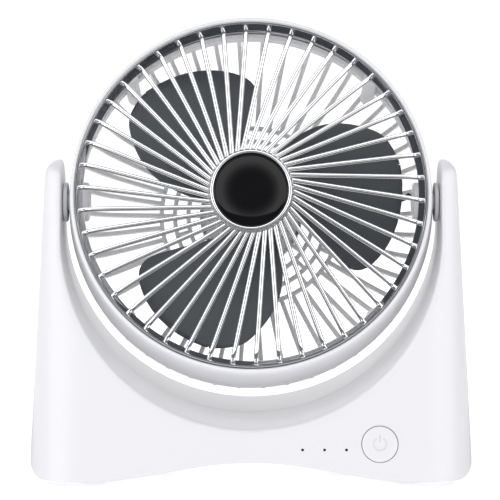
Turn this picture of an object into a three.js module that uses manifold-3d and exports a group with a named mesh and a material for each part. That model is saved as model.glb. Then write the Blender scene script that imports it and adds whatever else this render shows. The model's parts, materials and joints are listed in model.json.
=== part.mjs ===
// Desk fan: a round head that tilts between the two arms of a U-shaped base.
// Millimetres, +Z up, the front faces -Y, and the origin is on the floor under the middle of the base.
import * as THREE from "three";
import { mergeVertices } from "three/addons/utils/BufferGeometryUtils.js";
import Module from "manifold-3d";

const wasm = await Module();
wasm.setup();

// ---------- driving dimensions ----------
const FIT = 0.3; // gap between two pieces that touch
const WALL = 2.2; // wall of every moulded shell
const SCREW_R = 1.2; // shank of every screw
const SCREW_HEAD_R = 2.6;
const SCREW_HEAD_H = 1.6;

// head, in its own frame: the axis lies along Y, and the front is at -Y from the pivot
const HEAD_R = 79.5; // widest radius of the head
const LIP_TAPER = 2.5; // how much narrower the front lip is
const LIP_WALL = 2;
const LIP_Y = -21; // front edge of the lip
const SEAM_Y = 9.2; // where the barrel ends and the rear cover starts
const RIM_END_Y = 14.5; // back edge of the rear cover's solid rim
const BACK_Y = 34; // outer face of the rear cover
const HEAD_TILT = 16; // degrees that the front looks up at rest

const RING_BAND = 3.4; // width of the grille's outer ring
const SPOKES = 46;
const SPOKE_WIDTH = 2.1;
const SPOKE_DEPTH = 1.8;
const SPOKE_OFFSET = 7; // how far each spoke passes from the centre
const HUB_RING_R = 18.2;
const BADGE_R = 15.6;
const HUB_RISE = 5; // how far the hub stands in front of the ring

const REAR_RIBS = 46;
const RIB_WIDTH = 1.9;
const RIB_DEPTH = 3.2;
const INNER_ZONE_R = 40; // the ribs end on this ring, and the brick cells start
const CELL_ROW = 6; // radial height of one row of cells
const CELL_ROWS = 3;

const BLADES = 3;
const BLADE_GAP = 4; // between the blade tips and the pivot bosses
const BLADE_THICKNESS = 1.8;
const BLADE_PITCH = 20; // degrees
const BLADE_AIM = 131; // degrees from +X to the middle of the first blade
const IMPELLER_HUB_R = 16.5;
const HUB_FRONT_Y = -12;
const HUB_BACK_Y = 8;

const MOTOR_R = 14;
const MOTOR_FRONT_Y = 12;
const MOTOR_WALL = 1.4;
const SHAFT_R = 1.15;
const BUSH_R = 3;
const BUSH_LENGTH = 3;

// base
const PIVOT_GAP = 1.8; // between the head and each arm
const ARM_ROOM = 3.8; // clear space inside each arm, for the pivot's washer and screw head
const ARM_HALF_DEPTH = 19;
const ARM_TOP_ROUND = 6.5;
const BASE_FLARE = 5; // how much wider each side is at the floor
const BASE_HALF_DEPTH = 50;
const PLAN_ROUND = 22; // corner radius of the base in plan
const SCOOP_DROP = 11; // centre of the U below the pivot
const BRIDGE = 13.2; // height of the base between the arch and the U
const ARCH_RISE = 8;
const ARCH_INSET = 24.5; // from the side of the base to the start of the arch
const FLOOR_GAP = 1.5; // the casing's lower edge above the floor
const BOTTOM_ROUND = 7;

const PIVOT_BOSS_R = 8.5;
const PIVOT_BOSS_DEPTH = 9; // how far each boss stands into the barrel
const PIVOT_SHAFT_R = 4;
const PAD_CUT = 0.5; // depth of the flat cut on the barrel's outside at each pivot
const WASHER_R = 6.6;

const PLATE_RECESS = 0.8;
const PLATE_THICKNESS = 2;
const FOOT_R = 7;
const FOOT_INSET_X = 28.5; // from the sides of the base to the feet
const FOOT_INSET_Y = 14;
const PLATE_SCREW_X = 36;
const PLATE_SCREW_INSET_Y = 24;
const PLATE_SCREW_LENGTH = 12;

const BUTTON_R = 7.5;
const BUTTON_PROUD = 0.5;
const BUTTON_TRAVEL = 0.7;
const BUTTON_INSET_X = 40.5; // from the right side of the base to the button
const BUTTON_Z = 17;
const LAMPS = 3;
const LAMP_PITCH = 9.2;
const LAMP_BUTTON_GAP = 14; // from the button's middle to the nearest lamp
const LAMP_Z = 14.7;
const LAMP_HOLE_R = 0.6;
const BOARD_DEPTH = 8; // board's front face behind the panel's outer face
const BOARD_THICKNESS = 1.6;
const SWITCH_SIZE = 4.4;
const SWITCH_HEIGHT = 3;

const CELL_R = 9.2;
const CELL_LENGTH = 65;
const CELL_INSET_X = 32.5; // from the left side of the base to the battery's axis

// ---------- sizes that follow ----------
const SCOOP_R = HEAD_R + PIVOT_GAP; // inner face of each arm
const ARM_OUTER_X = SCOOP_R + ARM_ROOM + 2 * WALL;
const BASE_HALF_WIDTH = ARM_OUTER_X + BASE_FLARE;
const PAD_X = HEAD_R - PAD_CUT; // outer face of the flat pad on the barrel
const SHAFT_PROUD = ARM_ROOM - SCREW_HEAD_H - FIT - 0.5; // pivot shaft past the arm's inner wall
const SHAFT_END_X = SCOOP_R + WALL + SHAFT_PROUD;
const BLADE_TIP_R = PAD_X - PIVOT_BOSS_DEPTH - BLADE_GAP;
const ARCH_HALF = BASE_HALF_WIDTH - ARCH_INSET;
const FOOT_X = BASE_HALF_WIDTH - FOOT_INSET_X;
const FOOT_Y = BASE_HALF_DEPTH - FOOT_INSET_Y;
const PLATE_SCREW_Y = BASE_HALF_DEPTH - PLATE_SCREW_INSET_Y;
const BUTTON_X = BASE_HALF_WIDTH - BUTTON_INSET_X;
const LAMP_XS = Array.from(
  { length: LAMPS },
  (_, i) => BUTTON_X - LAMP_BUTTON_GAP - (LAMPS - 1 - i) * LAMP_PITCH,
);
const CELL_X = CELL_INSET_X - BASE_HALF_WIDTH;
const SCOOP_Z = FLOOR_GAP + ARCH_RISE + BRIDGE + SCOOP_R;
const PIVOT_Z = SCOOP_Z + SCOOP_DROP;
const ARM_TOP_Z = PIVOT_Z + ARM_HALF_DEPTH;
const PANEL_SLOPE = (BASE_HALF_DEPTH - ARM_HALF_DEPTH) / PIVOT_Z;
const PANEL_LEAN = Math.atan(PANEL_SLOPE);
const LIP_R = HEAD_R - LIP_TAPER;
const RING_R = LIP_R - LIP_WALL;
const RING_INNER_R = RING_R - RING_BAND;
const CUP_R = MOTOR_R + FIT + WALL;
const CUP_FRONT_Y = MOTOR_FRONT_Y + 8;
const MOTOR_BACK_Y = BACK_Y - WALL - 1;
const PILOT_R = SCREW_R + FIT;
const LEAD_R = 1.2;

const halfWidthAt = (z) => BASE_HALF_WIDTH - (BASE_FLARE * z) / PIVOT_Z;
const halfDepthAt = (z) => BASE_HALF_DEPTH - PANEL_SLOPE * z;
const headRadiusAt = (y) => LIP_R + (LIP_TAPER * (y - LIP_Y)) / (SEAM_Y - LIP_Y);

const CORNER_Z = FLOOR_GAP + BOTTOM_ROUND;
const CORNER_X = halfWidthAt(CORNER_Z) - BOTTOM_ROUND; // centre of the casing's lower corner

function archZ(x) {
  const share = Math.min(Math.abs(x) / ARCH_HALF, 1);
  return FLOOR_GAP + ARCH_RISE * (0.5 + 0.5 * Math.cos(Math.PI * share));
}

// ---------- helpers ----------
const radians = THREE.MathUtils.degToRad;

function solid(geometry) {
  const bare = geometry.clone();
  bare.deleteAttribute("normal");
  bare.deleteAttribute("uv");
  const merged = mergeVertices(bare, 1e-4);
  return new wasm.Manifold(
    new wasm.Mesh({
      numProp: 3,
      vertProperties: merged.attributes.position.array,
      triVerts: new Uint32Array(merged.index.array),
    }),
  );
}

function geometryOf(body) {
  const mesh = body.getMesh();
  const indexed = new THREE.BufferGeometry();
  indexed.setAttribute("position", new THREE.BufferAttribute(new Float32Array(mesh.vertProperties), 3));
  indexed.setIndex(new THREE.BufferAttribute(new Uint32Array(mesh.triVerts), 1));
  const flat = indexed.toNonIndexed();
  flat.computeVertexNormals();
  return flat;
}

function moved(geometry, x, y, z, turnX = 0, turnY = 0, turnZ = 0) {
  const turn = new THREE.Matrix4().makeRotationFromEuler(new THREE.Euler(turnX, turnY, turnZ));
  return geometry.applyMatrix4(turn.setPosition(x, y, z));
}

// A ring or disc about Y. The profile lists [radius, y] corners, and it is closed here.
function turned(profile, segments) {
  const onAxis = profile[0][0] === 0 && profile.at(-1)[0] === 0;
  const corners = onAxis ? profile : [...profile, profile[0]];
  let area = 0;
  profile.forEach(([r, y], i) => {
    const [nextR, nextY] = profile[(i + 1) % profile.length];
    area += r * nextY - nextR * y;
  });
  const ordered = area > 0 ? corners : [...corners].reverse();
  return new THREE.LatheGeometry(
    ordered.map(([r, y]) => new THREE.Vector2(r, y)),
    segments,
  );
}

const tubeProfile = (inner, outer, low, high) => [[inner, low], [outer, low], [outer, high], [inner, high]];
const discProfile = (radius, low, high) => [[0, low], [radius, low], [radius, high], [0, high]];

// A cylinder along X, Y or Z from one station to another.
function rod(axis, radius, from, to, a, b, segments = 12) {
  const bar = new THREE.CylinderGeometry(radius, radius, to - from, segments);
  const middle = (from + to) / 2;
  if (axis === "x") return moved(bar, middle, a, b, 0, 0, Math.PI / 2);
  if (axis === "y") return moved(bar, a, middle, b);
  return moved(bar, a, b, middle, Math.PI / 2);
}

function block(x0, x1, y0, y1, z0, z1) {
  const box = new THREE.BoxGeometry(x1 - x0, y1 - y0, z1 - z0);
  return moved(box, (x0 + x1) / 2, (y0 + y1) / 2, (z0 + z1) / 2);
}

function arcPoints(cx, cy, radius, fromDeg, toDeg, pieces) {
  return Array.from({ length: pieces + 1 }, (_, i) => {
    const angle = radians(fromDeg + ((toDeg - fromDeg) * i) / pieces);
    return new THREE.Vector2(cx + radius * Math.cos(angle), cy + radius * Math.sin(angle));
  });
}

// A front-view outline, drawn in (x, z), as a slab along Y.
function alongY(points, y0, y1) {
  const slab = new THREE.ExtrudeGeometry(new THREE.Shape(points), { depth: y1 - y0, bevelEnabled: false });
  return moved(slab.rotateX(Math.PI / 2), 0, y1, 0);
}

// A side-view outline, drawn in (y, z), as a slab along X.
function alongX(points, x0, x1) {
  const slab = new THREE.ExtrudeGeometry(new THREE.Shape(points), { depth: x1 - x0, bevelEnabled: false });
  return moved(slab.rotateX(Math.PI / 2).rotateZ(Math.PI / 2), x0, 0, 0);
}

const joined = (first, ...rest) => rest.reduce((sum, piece) => sum.add(piece), first);
const cut = (first, ...rest) => rest.reduce((left, piece) => left.subtract(piece), first);

const FINISHES = {
  white: [0xeeeef2, 0.42, 0],
  chrome: [0xd8dadd, 0.12, 1],
  black: [0x050507, 0.1, 0],
  slate: [0x454a50, 0.45, 0],
  rubber: [0x2b2b2d, 0.85, 0],
  steel: [0xb4b6b8, 0.35, 1],
  brass: [0xb89a55, 0.35, 1],
  board: [0x1f5a3a, 0.6, 0],
  wrap: [0x2f6fb0, 0.5, 0],
  lamp: [0xd9dde0, 0.3, 0],
  lead: [0x1c1c1e, 0.6, 0],
};

function part(name, shape, finish) {
  const [color, roughness, metalness] = FINISHES[finish];
  const geometry = shape.isBufferGeometry ? shape : geometryOf(shape);
  const mesh = new THREE.Mesh(geometry, new THREE.MeshStandardMaterial({ color, roughness, metalness }));
  mesh.name = name;
  return mesh;
}

// A pan-head screw about Y: the tip is at y = 0, and the head's outer face at `length`.
function screwShape(length, headR = SCREW_HEAD_R) {
  return turned(
    [
      [0, 0],
      [SCREW_R, 1],
      [SCREW_R, length - SCREW_HEAD_H],
      [headR, length - SCREW_HEAD_H],
      [headR - 0.5, length],
      [0, length],
    ],
    10,
  );
}

// ---------- base casing ----------
const HIGH = ARM_TOP_Z + 5;
const LOW = -5;

// The tapered block that gives the casing its plan corners and its leaning faces.
function taperedBlock(inset) {
  const halfW = BASE_HALF_WIDTH - inset;
  const halfD = BASE_HALF_DEPTH - inset;
  const round = PLAN_ROUND - inset;
  const outline = [
    ...arcPoints(halfW - round, halfD - round, round, 0, 90, 6),
    ...arcPoints(round - halfW, halfD - round, round, 90, 180, 6),
    ...arcPoints(round - halfW, round - halfD, round, 180, 270, 6),
    ...arcPoints(halfW - round, round - halfD, round, 270, 360, 6),
  ];
  const depth = HIGH - LOW;
  const prism = new THREE.ExtrudeGeometry(new THREE.Shape(outline), { depth, bevelEnabled: false });
  prism.translate(0, 0, LOW);
  const at = prism.attributes.position;
  for (let i = 0; i < at.count; i++) {
    const z = at.getZ(i);
    at.setX(i, (at.getX(i) * (halfWidthAt(z) - inset)) / halfW);
    at.setY(i, (at.getY(i) * (halfDepthAt(z) - inset)) / halfD);
  }
  return solid(prism);
}

// Right half of the casing's front outline, from the bottom round to the middle of the U.
function frontHalf(inset, openBelow) {
  const corner = arcPoints(CORNER_X, CORNER_Z, BOTTOM_ROUND - inset, -90, 0, 4);
  const topZ = ARM_TOP_Z - inset;
  const innerX = SCOOP_R + inset;
  const armWidth = halfWidthAt(topZ) - inset - innerX;
  const topRound = Math.min(ARM_TOP_ROUND - inset, armWidth - 0.5);
  const topX = innerX + armWidth - topRound;
  const top = arcPoints(topX, topZ - topRound, topRound, 0, 90, 4);
  const scoop = arcPoints(0, SCOOP_Z, innerX, 0, -90, 16);
  const start = openBelow ? [new THREE.Vector2(CORNER_X, LOW)] : [];
  return [...start, ...corner, ...top, new THREE.Vector2(innerX, topZ), ...scoop];
}

function frontSlab(inset, openBelow) {
  const right = frontHalf(inset, openBelow);
  const left = right
    .slice(0, -1)
    .reverse()
    .map((p) => new THREE.Vector2(-p.x, p.y));
  const arch = [];
  if (!openBelow) {
    const steps = 16;
    for (let i = 0; i <= steps; i++) {
      const x = -ARCH_HALF + (2 * ARCH_HALF * i) / steps;
      arch.push(new THREE.Vector2(x, archZ(x)));
    }
  }
  const reach = BASE_HALF_DEPTH + 5;
  return solid(alongY([...right, ...left, ...arch], -reach, reach));
}

function sideSlab(inset) {
  const reach = BASE_HALF_DEPTH + 5;
  const arc = arcPoints(0, PIVOT_Z, ARM_HALF_DEPTH - inset, 0, 180, 12);
  const outline = [
    new THREE.Vector2(-reach, LOW),
    new THREE.Vector2(reach, LOW),
    new THREE.Vector2(reach, PIVOT_Z),
    ...arc,
    new THREE.Vector2(-reach, PIVOT_Z),
  ];
  return solid(alongX(outline, -BASE_HALF_WIDTH - 5, BASE_HALF_WIDTH + 5));
}

const casingOutside = taperedBlock(0).intersect(frontSlab(0, false)).intersect(sideSlab(0));
const casingInside = taperedBlock(WALL).intersect(frontSlab(WALL, true)).intersect(sideSlab(WALL));

const PLATE_TOP_GAP = PLATE_RECESS + PLATE_THICKNESS + FIT;
const POST_R = 3.4;
const SHELL_POSTS = [
  [SCOOP_R + 0.7, BRIDGE + 7],
  [SCOOP_R + 2.7, PIVOT_Z - 49],
];

// Posts for the screws that hold the two shells together and for those of the bottom plate.
function casingPosts() {
  const posts = [];
  for (const side of [-1, 1]) {
    for (const [x, z] of SHELL_POSTS) {
      posts.push(solid(rod("y", POST_R, -BASE_HALF_DEPTH, BASE_HALF_DEPTH, side * x, z)));
    }
    for (const end of [-1, 1]) {
      const x = side * PLATE_SCREW_X;
      const top = SCOOP_Z - Math.sqrt(SCOOP_R ** 2 - PLATE_SCREW_X ** 2) + 1;
      posts.push(solid(rod("z", POST_R, archZ(x) + PLATE_TOP_GAP + 0.6, top, x, end * PLATE_SCREW_Y)));
    }
  }
  return joined(...posts).intersect(casingOutside);
}

const SHELL_HEAD_Y = 14; // bottom of the deep recess for each shell screw's head
const SHELL_SCREW_LENGTH = 24;

function casingHoles() {
  const holes = [];
  for (const side of [-1, 1]) {
    holes.push(solid(rod("x", PIVOT_SHAFT_R + FIT, SCOOP_R - 2, SCOOP_R + WALL + 1, 0, PIVOT_Z, 20)));
    for (const [x, z] of SHELL_POSTS) {
      const tip = SHELL_HEAD_Y + SCREW_HEAD_H + FIT - SHELL_SCREW_LENGTH - 1;
      holes.push(solid(rod("y", PILOT_R, tip, SHELL_HEAD_Y + 1, side * x, z)));
      holes.push(solid(rod("y", SCREW_HEAD_R + FIT, SHELL_HEAD_Y, BASE_HALF_DEPTH + 1, side * x, z)));
    }
    for (const end of [-1, 1]) {
      const x = side * PLATE_SCREW_X;
      holes.push(solid(rod("z", PILOT_R, 0, archZ(x) + 14, x, end * PLATE_SCREW_Y)));
    }
  }
  const leftPivot = rod("x", PIVOT_SHAFT_R + FIT, -SCOOP_R - WALL - 1, -SCOOP_R + 2, 0, PIVOT_Z, 20);
  return joined(...holes, solid(leftPivot));
}

const casing = cut(casingOutside.subtract(casingInside).add(casingPosts()), casingHoles());

const keepSide = (side) => {
  const far = BASE_HALF_DEPTH + 10;
  const wide = BASE_HALF_WIDTH + 10;
  const y0 = side < 0 ? -far : FIT / 2;
  const y1 = side < 0 ? -FIT / 2 : far;
  return solid(block(-wide, wide, y0, y1, LOW - 1, HIGH + 1));
};

// ---------- pieces on the leaning front panel ----------
// A group whose +Z points out of the panel, with its origin on the panel's outer face.
function panelGroup(x, z) {
  const group = new THREE.Group();
  group.position.set(x, -halfDepthAt(z), z);
  group.rotation.x = Math.PI / 2 - PANEL_LEAN;
  return group;
}

// The same place as a solid in the part's frame, for cutting.
function onPanel(geometry, x, z) {
  const group = panelGroup(x, z);
  group.updateMatrix();
  return solid(geometry.applyMatrix4(group.matrix));
}

const throughPanel = (radius, x, z) => onPanel(rod("z", radius, -WALL - 2, 2, 0, 0, 28), x, z);

const USB_W = 9;
const USB_H = 3.3;
const USB_DEPTH = 7.3;
const USB_Z = FLOOR_GAP + ARCH_RISE + PLATE_TOP_GAP + 3.6;
const usbFaceY = halfDepthAt(USB_Z + USB_H / 2) - FIT;

function usbOutline(grow, half = USB_H / 2 + grow) {
  const flat = USB_W / 2 + grow - half;
  return [...arcPoints(flat, USB_Z, half, -90, 90, 6), ...arcPoints(-flat, USB_Z, half, 90, 270, 6)];
}

function frontShell() {
  const lamps = LAMP_XS.map((x) => throughPanel(LAMP_HOLE_R, x, LAMP_Z));
  return cut(casing.intersect(keepSide(-1)), throughPanel(BUTTON_R + FIT, BUTTON_X, BUTTON_Z), ...lamps);
}

function rearShell() {
  const mouth = solid(alongY(usbOutline(FIT), usbFaceY - 8, BASE_HALF_DEPTH + 1));
  return casing.intersect(keepSide(1)).subtract(mouth);
}

function bottomPlate() {
  const steps = 16;
  const edge = CORNER_X - FIT;
  const under = [];
  for (let i = 0; i <= steps; i++) {
    const x = -edge + (2 * edge * i) / steps;
    under.push(new THREE.Vector2(x, archZ(x) + PLATE_RECESS));
  }
  const over = [...under].reverse().map((p) => new THREE.Vector2(p.x, p.y + PLATE_THICKNESS));
  const reach = BASE_HALF_DEPTH + 5;
  const strip = solid(alongY([...under, ...over], -reach, reach));
  const screws = [-1, 1].flatMap((side) =>
    [-1, 1].map((end) => solid(rod("z", PILOT_R, 0, 20, side * PLATE_SCREW_X, end * PLATE_SCREW_Y))),
  );
  return cut(strip.intersect(taperedBlock(WALL + FIT)), ...screws);
}

function powerButton() {
  const flangeTop = -WALL - FIT;
  const stemEnd = -BOARD_DEPTH + SWITCH_HEIGHT + BUTTON_TRAVEL + FIT;
  const profile = [
    [0, stemEnd],
    [2, stemEnd],
    [2, flangeTop - 1.2],
    [BUTTON_R + 1.2, flangeTop - 1.2],
    [BUTTON_R + 1.2, flangeTop],
    [BUTTON_R, flangeTop],
    [BUTTON_R, BUTTON_PROUD - 0.4],
    [BUTTON_R - 0.5, BUTTON_PROUD],
    [0, BUTTON_PROUD],
  ];
  return turned(profile, 24).rotateX(Math.PI / 2);
}

function lamp() {
  const profile = [
    [0, -BOARD_DEPTH + FIT],
    [1.5, -BOARD_DEPTH + FIT],
    [1.5, -WALL - 1.2],
    [0.8, -WALL - FIT],
    [0, -WALL - FIT],
  ];
  return turned(profile, 12).rotateX(Math.PI / 2);
}

// ---------- base ----------
const base = new THREE.Group();
base.add(part("base_front_shell", frontShell(), "white"));
base.add(part("base_rear_shell", rearShell(), "white"));
base.add(part("bottom_plate", bottomPlate(), "white"));

const corners = [
  ["front_left", -1, -1],
  ["front_right", 1, -1],
  ["rear_left", -1, 1],
  ["rear_right", 1, 1],
];

const footTop = FLOOR_GAP + PLATE_RECESS - FIT;
for (const [place, side, end] of corners) {
  const foot = turned([[0, 0], [FOOT_R - 0.5, 0], [FOOT_R, 0.5], [FOOT_R, footTop], [0, footTop]], 16);
  foot.rotateX(Math.PI / 2).translate(side * FOOT_X, end * FOOT_Y, 0);
  base.add(part("foot_" + place, foot, "rubber"));

  const screw = screwShape(PLATE_SCREW_LENGTH).rotateX(-Math.PI / 2);
  const headZ = archZ(PLATE_SCREW_X + SCREW_HEAD_R) + PLATE_RECESS - FIT - SCREW_HEAD_H;
  screw.translate(side * PLATE_SCREW_X, end * PLATE_SCREW_Y, headZ + PLATE_SCREW_LENGTH);
  base.add(part("plate_screw_" + place, screw, "steel"));
}

for (const [side, sideName] of [[-1, "left"], [1, "right"]]) {
  SHELL_POSTS.forEach(([x, z], i) => {
    const screw = screwShape(SHELL_SCREW_LENGTH);
    screw.translate(side * x, SHELL_HEAD_Y + FIT + SCREW_HEAD_H - SHELL_SCREW_LENGTH, z);
    base.add(part("shell_screw_" + sideName + (i ? "_upper" : "_lower"), screw, "steel"));
  });
}

const buttonGroup = panelGroup(BUTTON_X, BUTTON_Z);
buttonGroup.add(part("power_button", powerButton(), "white"));
buttonGroup.add(
  part("power_switch", block(-SWITCH_SIZE / 2, SWITCH_SIZE / 2, -SWITCH_SIZE / 2, SWITCH_SIZE / 2,
    -BOARD_DEPTH + FIT, -BOARD_DEPTH + SWITCH_HEIGHT), "black"),
);
const BOARD_LEFT = LAMP_XS[0] - BUTTON_X - 3;
const BOARD_RIGHT = 10;
const BOARD_LOW = -3.2;
const BOARD_HIGH = 6;
buttonGroup.add(
  part("control_board", block(BOARD_LEFT, BOARD_RIGHT, BOARD_LOW, BOARD_HIGH,
    -BOARD_DEPTH - BOARD_THICKNESS, -BOARD_DEPTH), "board"),
);
base.add(buttonGroup);

LAMP_XS.forEach((x, i) => {
  const group = panelGroup(x, LAMP_Z);
  group.add(part("level_lamp_" + (i + 1), lamp(), "lamp"));
  base.add(group);
});

const CHARGE_BOARD_THICKNESS = 1.2;
const chargeTop = USB_Z - USB_H / 2 - FIT;
base.add(
  part("charge_board", block(-10, 10, usbFaceY - 15, usbFaceY - 2.5,
    chargeTop - CHARGE_BOARD_THICKNESS, chargeTop), "board"),
);

function usbSocket() {
  const shell = solid(alongY(usbOutline(0), usbFaceY - USB_DEPTH, usbFaceY));
  const mouth = solid(alongY(usbOutline(-0.35), usbFaceY - USB_DEPTH + 1, usbFaceY + 1));
  const tongue = solid(
    block(-3.3, 3.3, usbFaceY - USB_DEPTH + 0.5, usbFaceY - 1.2, USB_Z - 0.35, USB_Z + 0.35),
  );
  return shell.subtract(mouth).add(tongue);
}
base.add(part("usb_socket", usbSocket(), "steel"));

const plateTopAtCell = archZ(Math.abs(CELL_X) - CELL_R) + PLATE_RECESS + PLATE_THICKNESS;
const CRADLE_FLOOR = 1.2;
const cellZ = plateTopAtCell + FIT + CRADLE_FLOOR + FIT + CELL_R;
const cell = turned(
  [
    [0, -CELL_LENGTH / 2],
    [CELL_R, -CELL_LENGTH / 2],
    [CELL_R, CELL_LENGTH / 2 - 1],
    [CELL_R - 1, CELL_LENGTH / 2 - 1],
    [2.8, CELL_LENGTH / 2 - 1],
    [2.8, CELL_LENGTH / 2],
    [0, CELL_LENGTH / 2],
  ],
  28,
).translate(CELL_X, 0, cellZ);
base.add(part("battery_cell", cell, "wrap"));

function batteryCradle() {
  const half = CELL_R + FIT;
  const bottom = plateTopAtCell + FIT;
  const bed = solid(block(CELL_X - half, CELL_X + half, -20, 20, bottom, cellZ - 2));
  return bed.subtract(solid(rod("y", CELL_R + FIT, -21, 21, CELL_X, cellZ, 28)));
}
base.add(part("battery_cradle", batteryCradle(), "black"));

// A wire as a swept eight-sided section along a smooth curve.
function wire(points, steps) {
  const path = new THREE.CatmullRomCurve3(points.map((p) => new THREE.Vector3(...p)), false, "centripetal");
  const section = new THREE.Shape(arcPoints(0, 0, LEAD_R, 0, 315, 7));
  return new THREE.ExtrudeGeometry(section, { steps, extrudePath: path, bevelEnabled: false });
}

function armLead() {
  const lane = SCOOP_R + WALL + ARM_ROOM / 2;
  const rise = Array.from({ length: 11 }, (_, i) => {
    const angle = radians(6 * i - 60);
    const radius = lane + Math.max(0, 2 - i); // the first points stay lower, so the bend clears the wall
    return [radius * Math.cos(angle), Math.min(0, 4 * i - 20), SCOOP_Z + radius * Math.sin(angle)];
  });
  const [firstX] = rise[0];
  const boardBack = -halfDepthAt(BUTTON_Z) + BOARD_DEPTH + BOARD_THICKNESS + 2;
  return wire([[firstX, boardBack, BUTTON_Z], ...rise], 22);
}
base.add(part("arm_lead", armLead(), "lead"));

// ---------- pivots ----------
const STEM_R = PIVOT_SHAFT_R - 0.6; // the stub's end that sits in the barrel's boss
const STEM_DEPTH = 7;
const PIVOT_SCREW_LENGTH = 9.5;
const PIVOT_SCREW_HEAD_R = 4.6;

for (const [side, sideName] of [[-1, "left"], [1, "right"]]) {
  const washer = turned(
    tubeProfile(PIVOT_SHAFT_R + FIT, WASHER_R, SCOOP_R + WALL + FIT, SHAFT_END_X - FIT),
    16,
  );
  washer.rotateZ((-side * Math.PI) / 2).translate(0, 0, PIVOT_Z);
  base.add(part("friction_washer_" + sideName, washer, "steel"));
}

function pivotStub() {
  const profile = [
    [PILOT_R, PAD_X - STEM_DEPTH],
    [STEM_R, PAD_X - STEM_DEPTH],
    [STEM_R, PAD_X + FIT],
    [PIVOT_BOSS_R, PAD_X + FIT],
    [PIVOT_BOSS_R, SCOOP_R - FIT],
    [PIVOT_SHAFT_R, SCOOP_R - FIT],
    [PIVOT_SHAFT_R, SHAFT_END_X],
    [PILOT_R, SHAFT_END_X],
  ];
  return turned(profile, 20);
}

// ---------- head ----------
const head = new THREE.Group();
head.position.set(0, 0, PIVOT_Z);
head.rotation.x = radians(-HEAD_TILT);

const HEAD_SEGMENTS = 48;
const SEAT_FRONT_Y = LIP_Y + 4.3; // the grille's ring rests against this step inside the lip
const SEAT_BACK_Y = SEAT_FRONT_Y + 1.7;
const COVER_POST_R = 3.2;
const COVER_POST_AT = HEAD_R - WALL - COVER_POST_R - 0.4;
const COVER_HEAD_Y = BACK_Y - 13.5; // bottom of the recess for each cover screw's head
const COVER_ANGLES = [["upper_right", 45], ["upper_left", 135], ["lower_left", 225], ["lower_right", 315]];

const aroundHead = (radius, deg) => [radius * Math.cos(radians(deg)), radius * Math.sin(radians(deg))];

function headBarrel() {
  const profile = [
    [RING_R + FIT, LIP_Y + 0.3],
    [LIP_R - 0.6, LIP_Y],
    [LIP_R, LIP_Y + 0.6],
    [HEAD_R, SEAM_Y],
    [HEAD_R - WALL, SEAM_Y],
    [headRadiusAt(SEAT_BACK_Y) - WALL, SEAT_BACK_Y],
    [RING_INNER_R + 0.6, SEAT_BACK_Y],
    [RING_INNER_R + 0.6, SEAT_FRONT_Y],
    [RING_R + FIT, SEAT_FRONT_Y],
  ];
  const wall = solid(turned(profile, HEAD_SEGMENTS));
  const bosses = [-1, 1].map((side) => {
    const near = side * (PAD_X - PIVOT_BOSS_DEPTH);
    const far = side * PAD_X;
    return solid(rod("x", PIVOT_BOSS_R, Math.min(near, far), Math.max(near, far), 0, 0, 20));
  });
  const seats = [-1, 1].map((side) => {
    const near = side * (PAD_X - STEM_DEPTH - 1.5);
    const far = side * (PAD_X + 1);
    return solid(rod("x", STEM_R + FIT, Math.min(near, far), Math.max(near, far), 0, 0, 20));
  });
  const flats = [-1, 1].map((side) => {
    const near = side * PAD_X;
    const far = side * (PAD_X + 3);
    return solid(block(Math.min(near, far), Math.max(near, far), -PIVOT_BOSS_R - 0.5, SEAM_Y + 1,
      -PIVOT_BOSS_R - 0.5, PIVOT_BOSS_R + 0.5));
  });
  const past = solid(block(-HEAD_R - 5, HEAD_R + 5, SEAM_Y, SEAM_Y + 20, -HEAD_R, HEAD_R));
  const posts = COVER_ANGLES.map(([, deg]) => {
    const [x, z] = aroundHead(COVER_POST_AT, deg);
    return solid(rod("y", COVER_POST_R, SEAT_BACK_Y - 0.5, SEAM_Y, x, z, 14));
  });
  const pilots = COVER_ANGLES.map(([, deg]) => {
    const [x, z] = aroundHead(COVER_POST_AT, deg);
    return solid(rod("y", PILOT_R, SEAM_Y - 12, SEAM_Y + 1, x, z, 12));
  });
  return cut(joined(wall, ...bosses, ...posts), past, ...flats, ...seats, ...pilots);
}
head.add(part("head_barrel", headBarrel(), "white"));

// Side section of one rear rib: it leaves the rim, turns over the edge and runs in to the inner ring.
function ribSection() {
  const outer = new THREE.SplineCurve([
    new THREE.Vector2(HEAD_R, RIM_END_Y + 2),
    new THREE.Vector2(HEAD_R - 1.2, RIM_END_Y + 9),
    new THREE.Vector2(HEAD_R - 5.5, BACK_Y - 7),
    new THREE.Vector2(HEAD_R - 16, BACK_Y - 2.2),
    new THREE.Vector2(INNER_ZONE_R, BACK_Y),
  ]).getPoints(4);
  const inner = outer.map((p, i) => {
    const before = outer[Math.max(i - 1, 0)];
    const after = outer[Math.min(i + 1, outer.length - 1)];
    const along = after.clone().sub(before).normalize();
    return new THREE.Vector2(p.x - along.y * RIB_DEPTH, p.y + along.x * RIB_DEPTH);
  });
  const front = [
    new THREE.Vector2(HEAD_R - RIB_DEPTH, SEAM_Y + 3),
    new THREE.Vector2(HEAD_R - 0.3, SEAM_Y + 3),
  ];
  return [...front, ...outer, ...inner.reverse()];
}

function rearRib(deg) {
  const section = new THREE.Shape(ribSection());
  const plate = new THREE.ExtrudeGeometry(section, { depth: RIB_WIDTH, bevelEnabled: false });
  plate.translate(0, 0, -RIB_WIDTH / 2);
  return solid(plate.rotateY(radians(-deg)));
}

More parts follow.
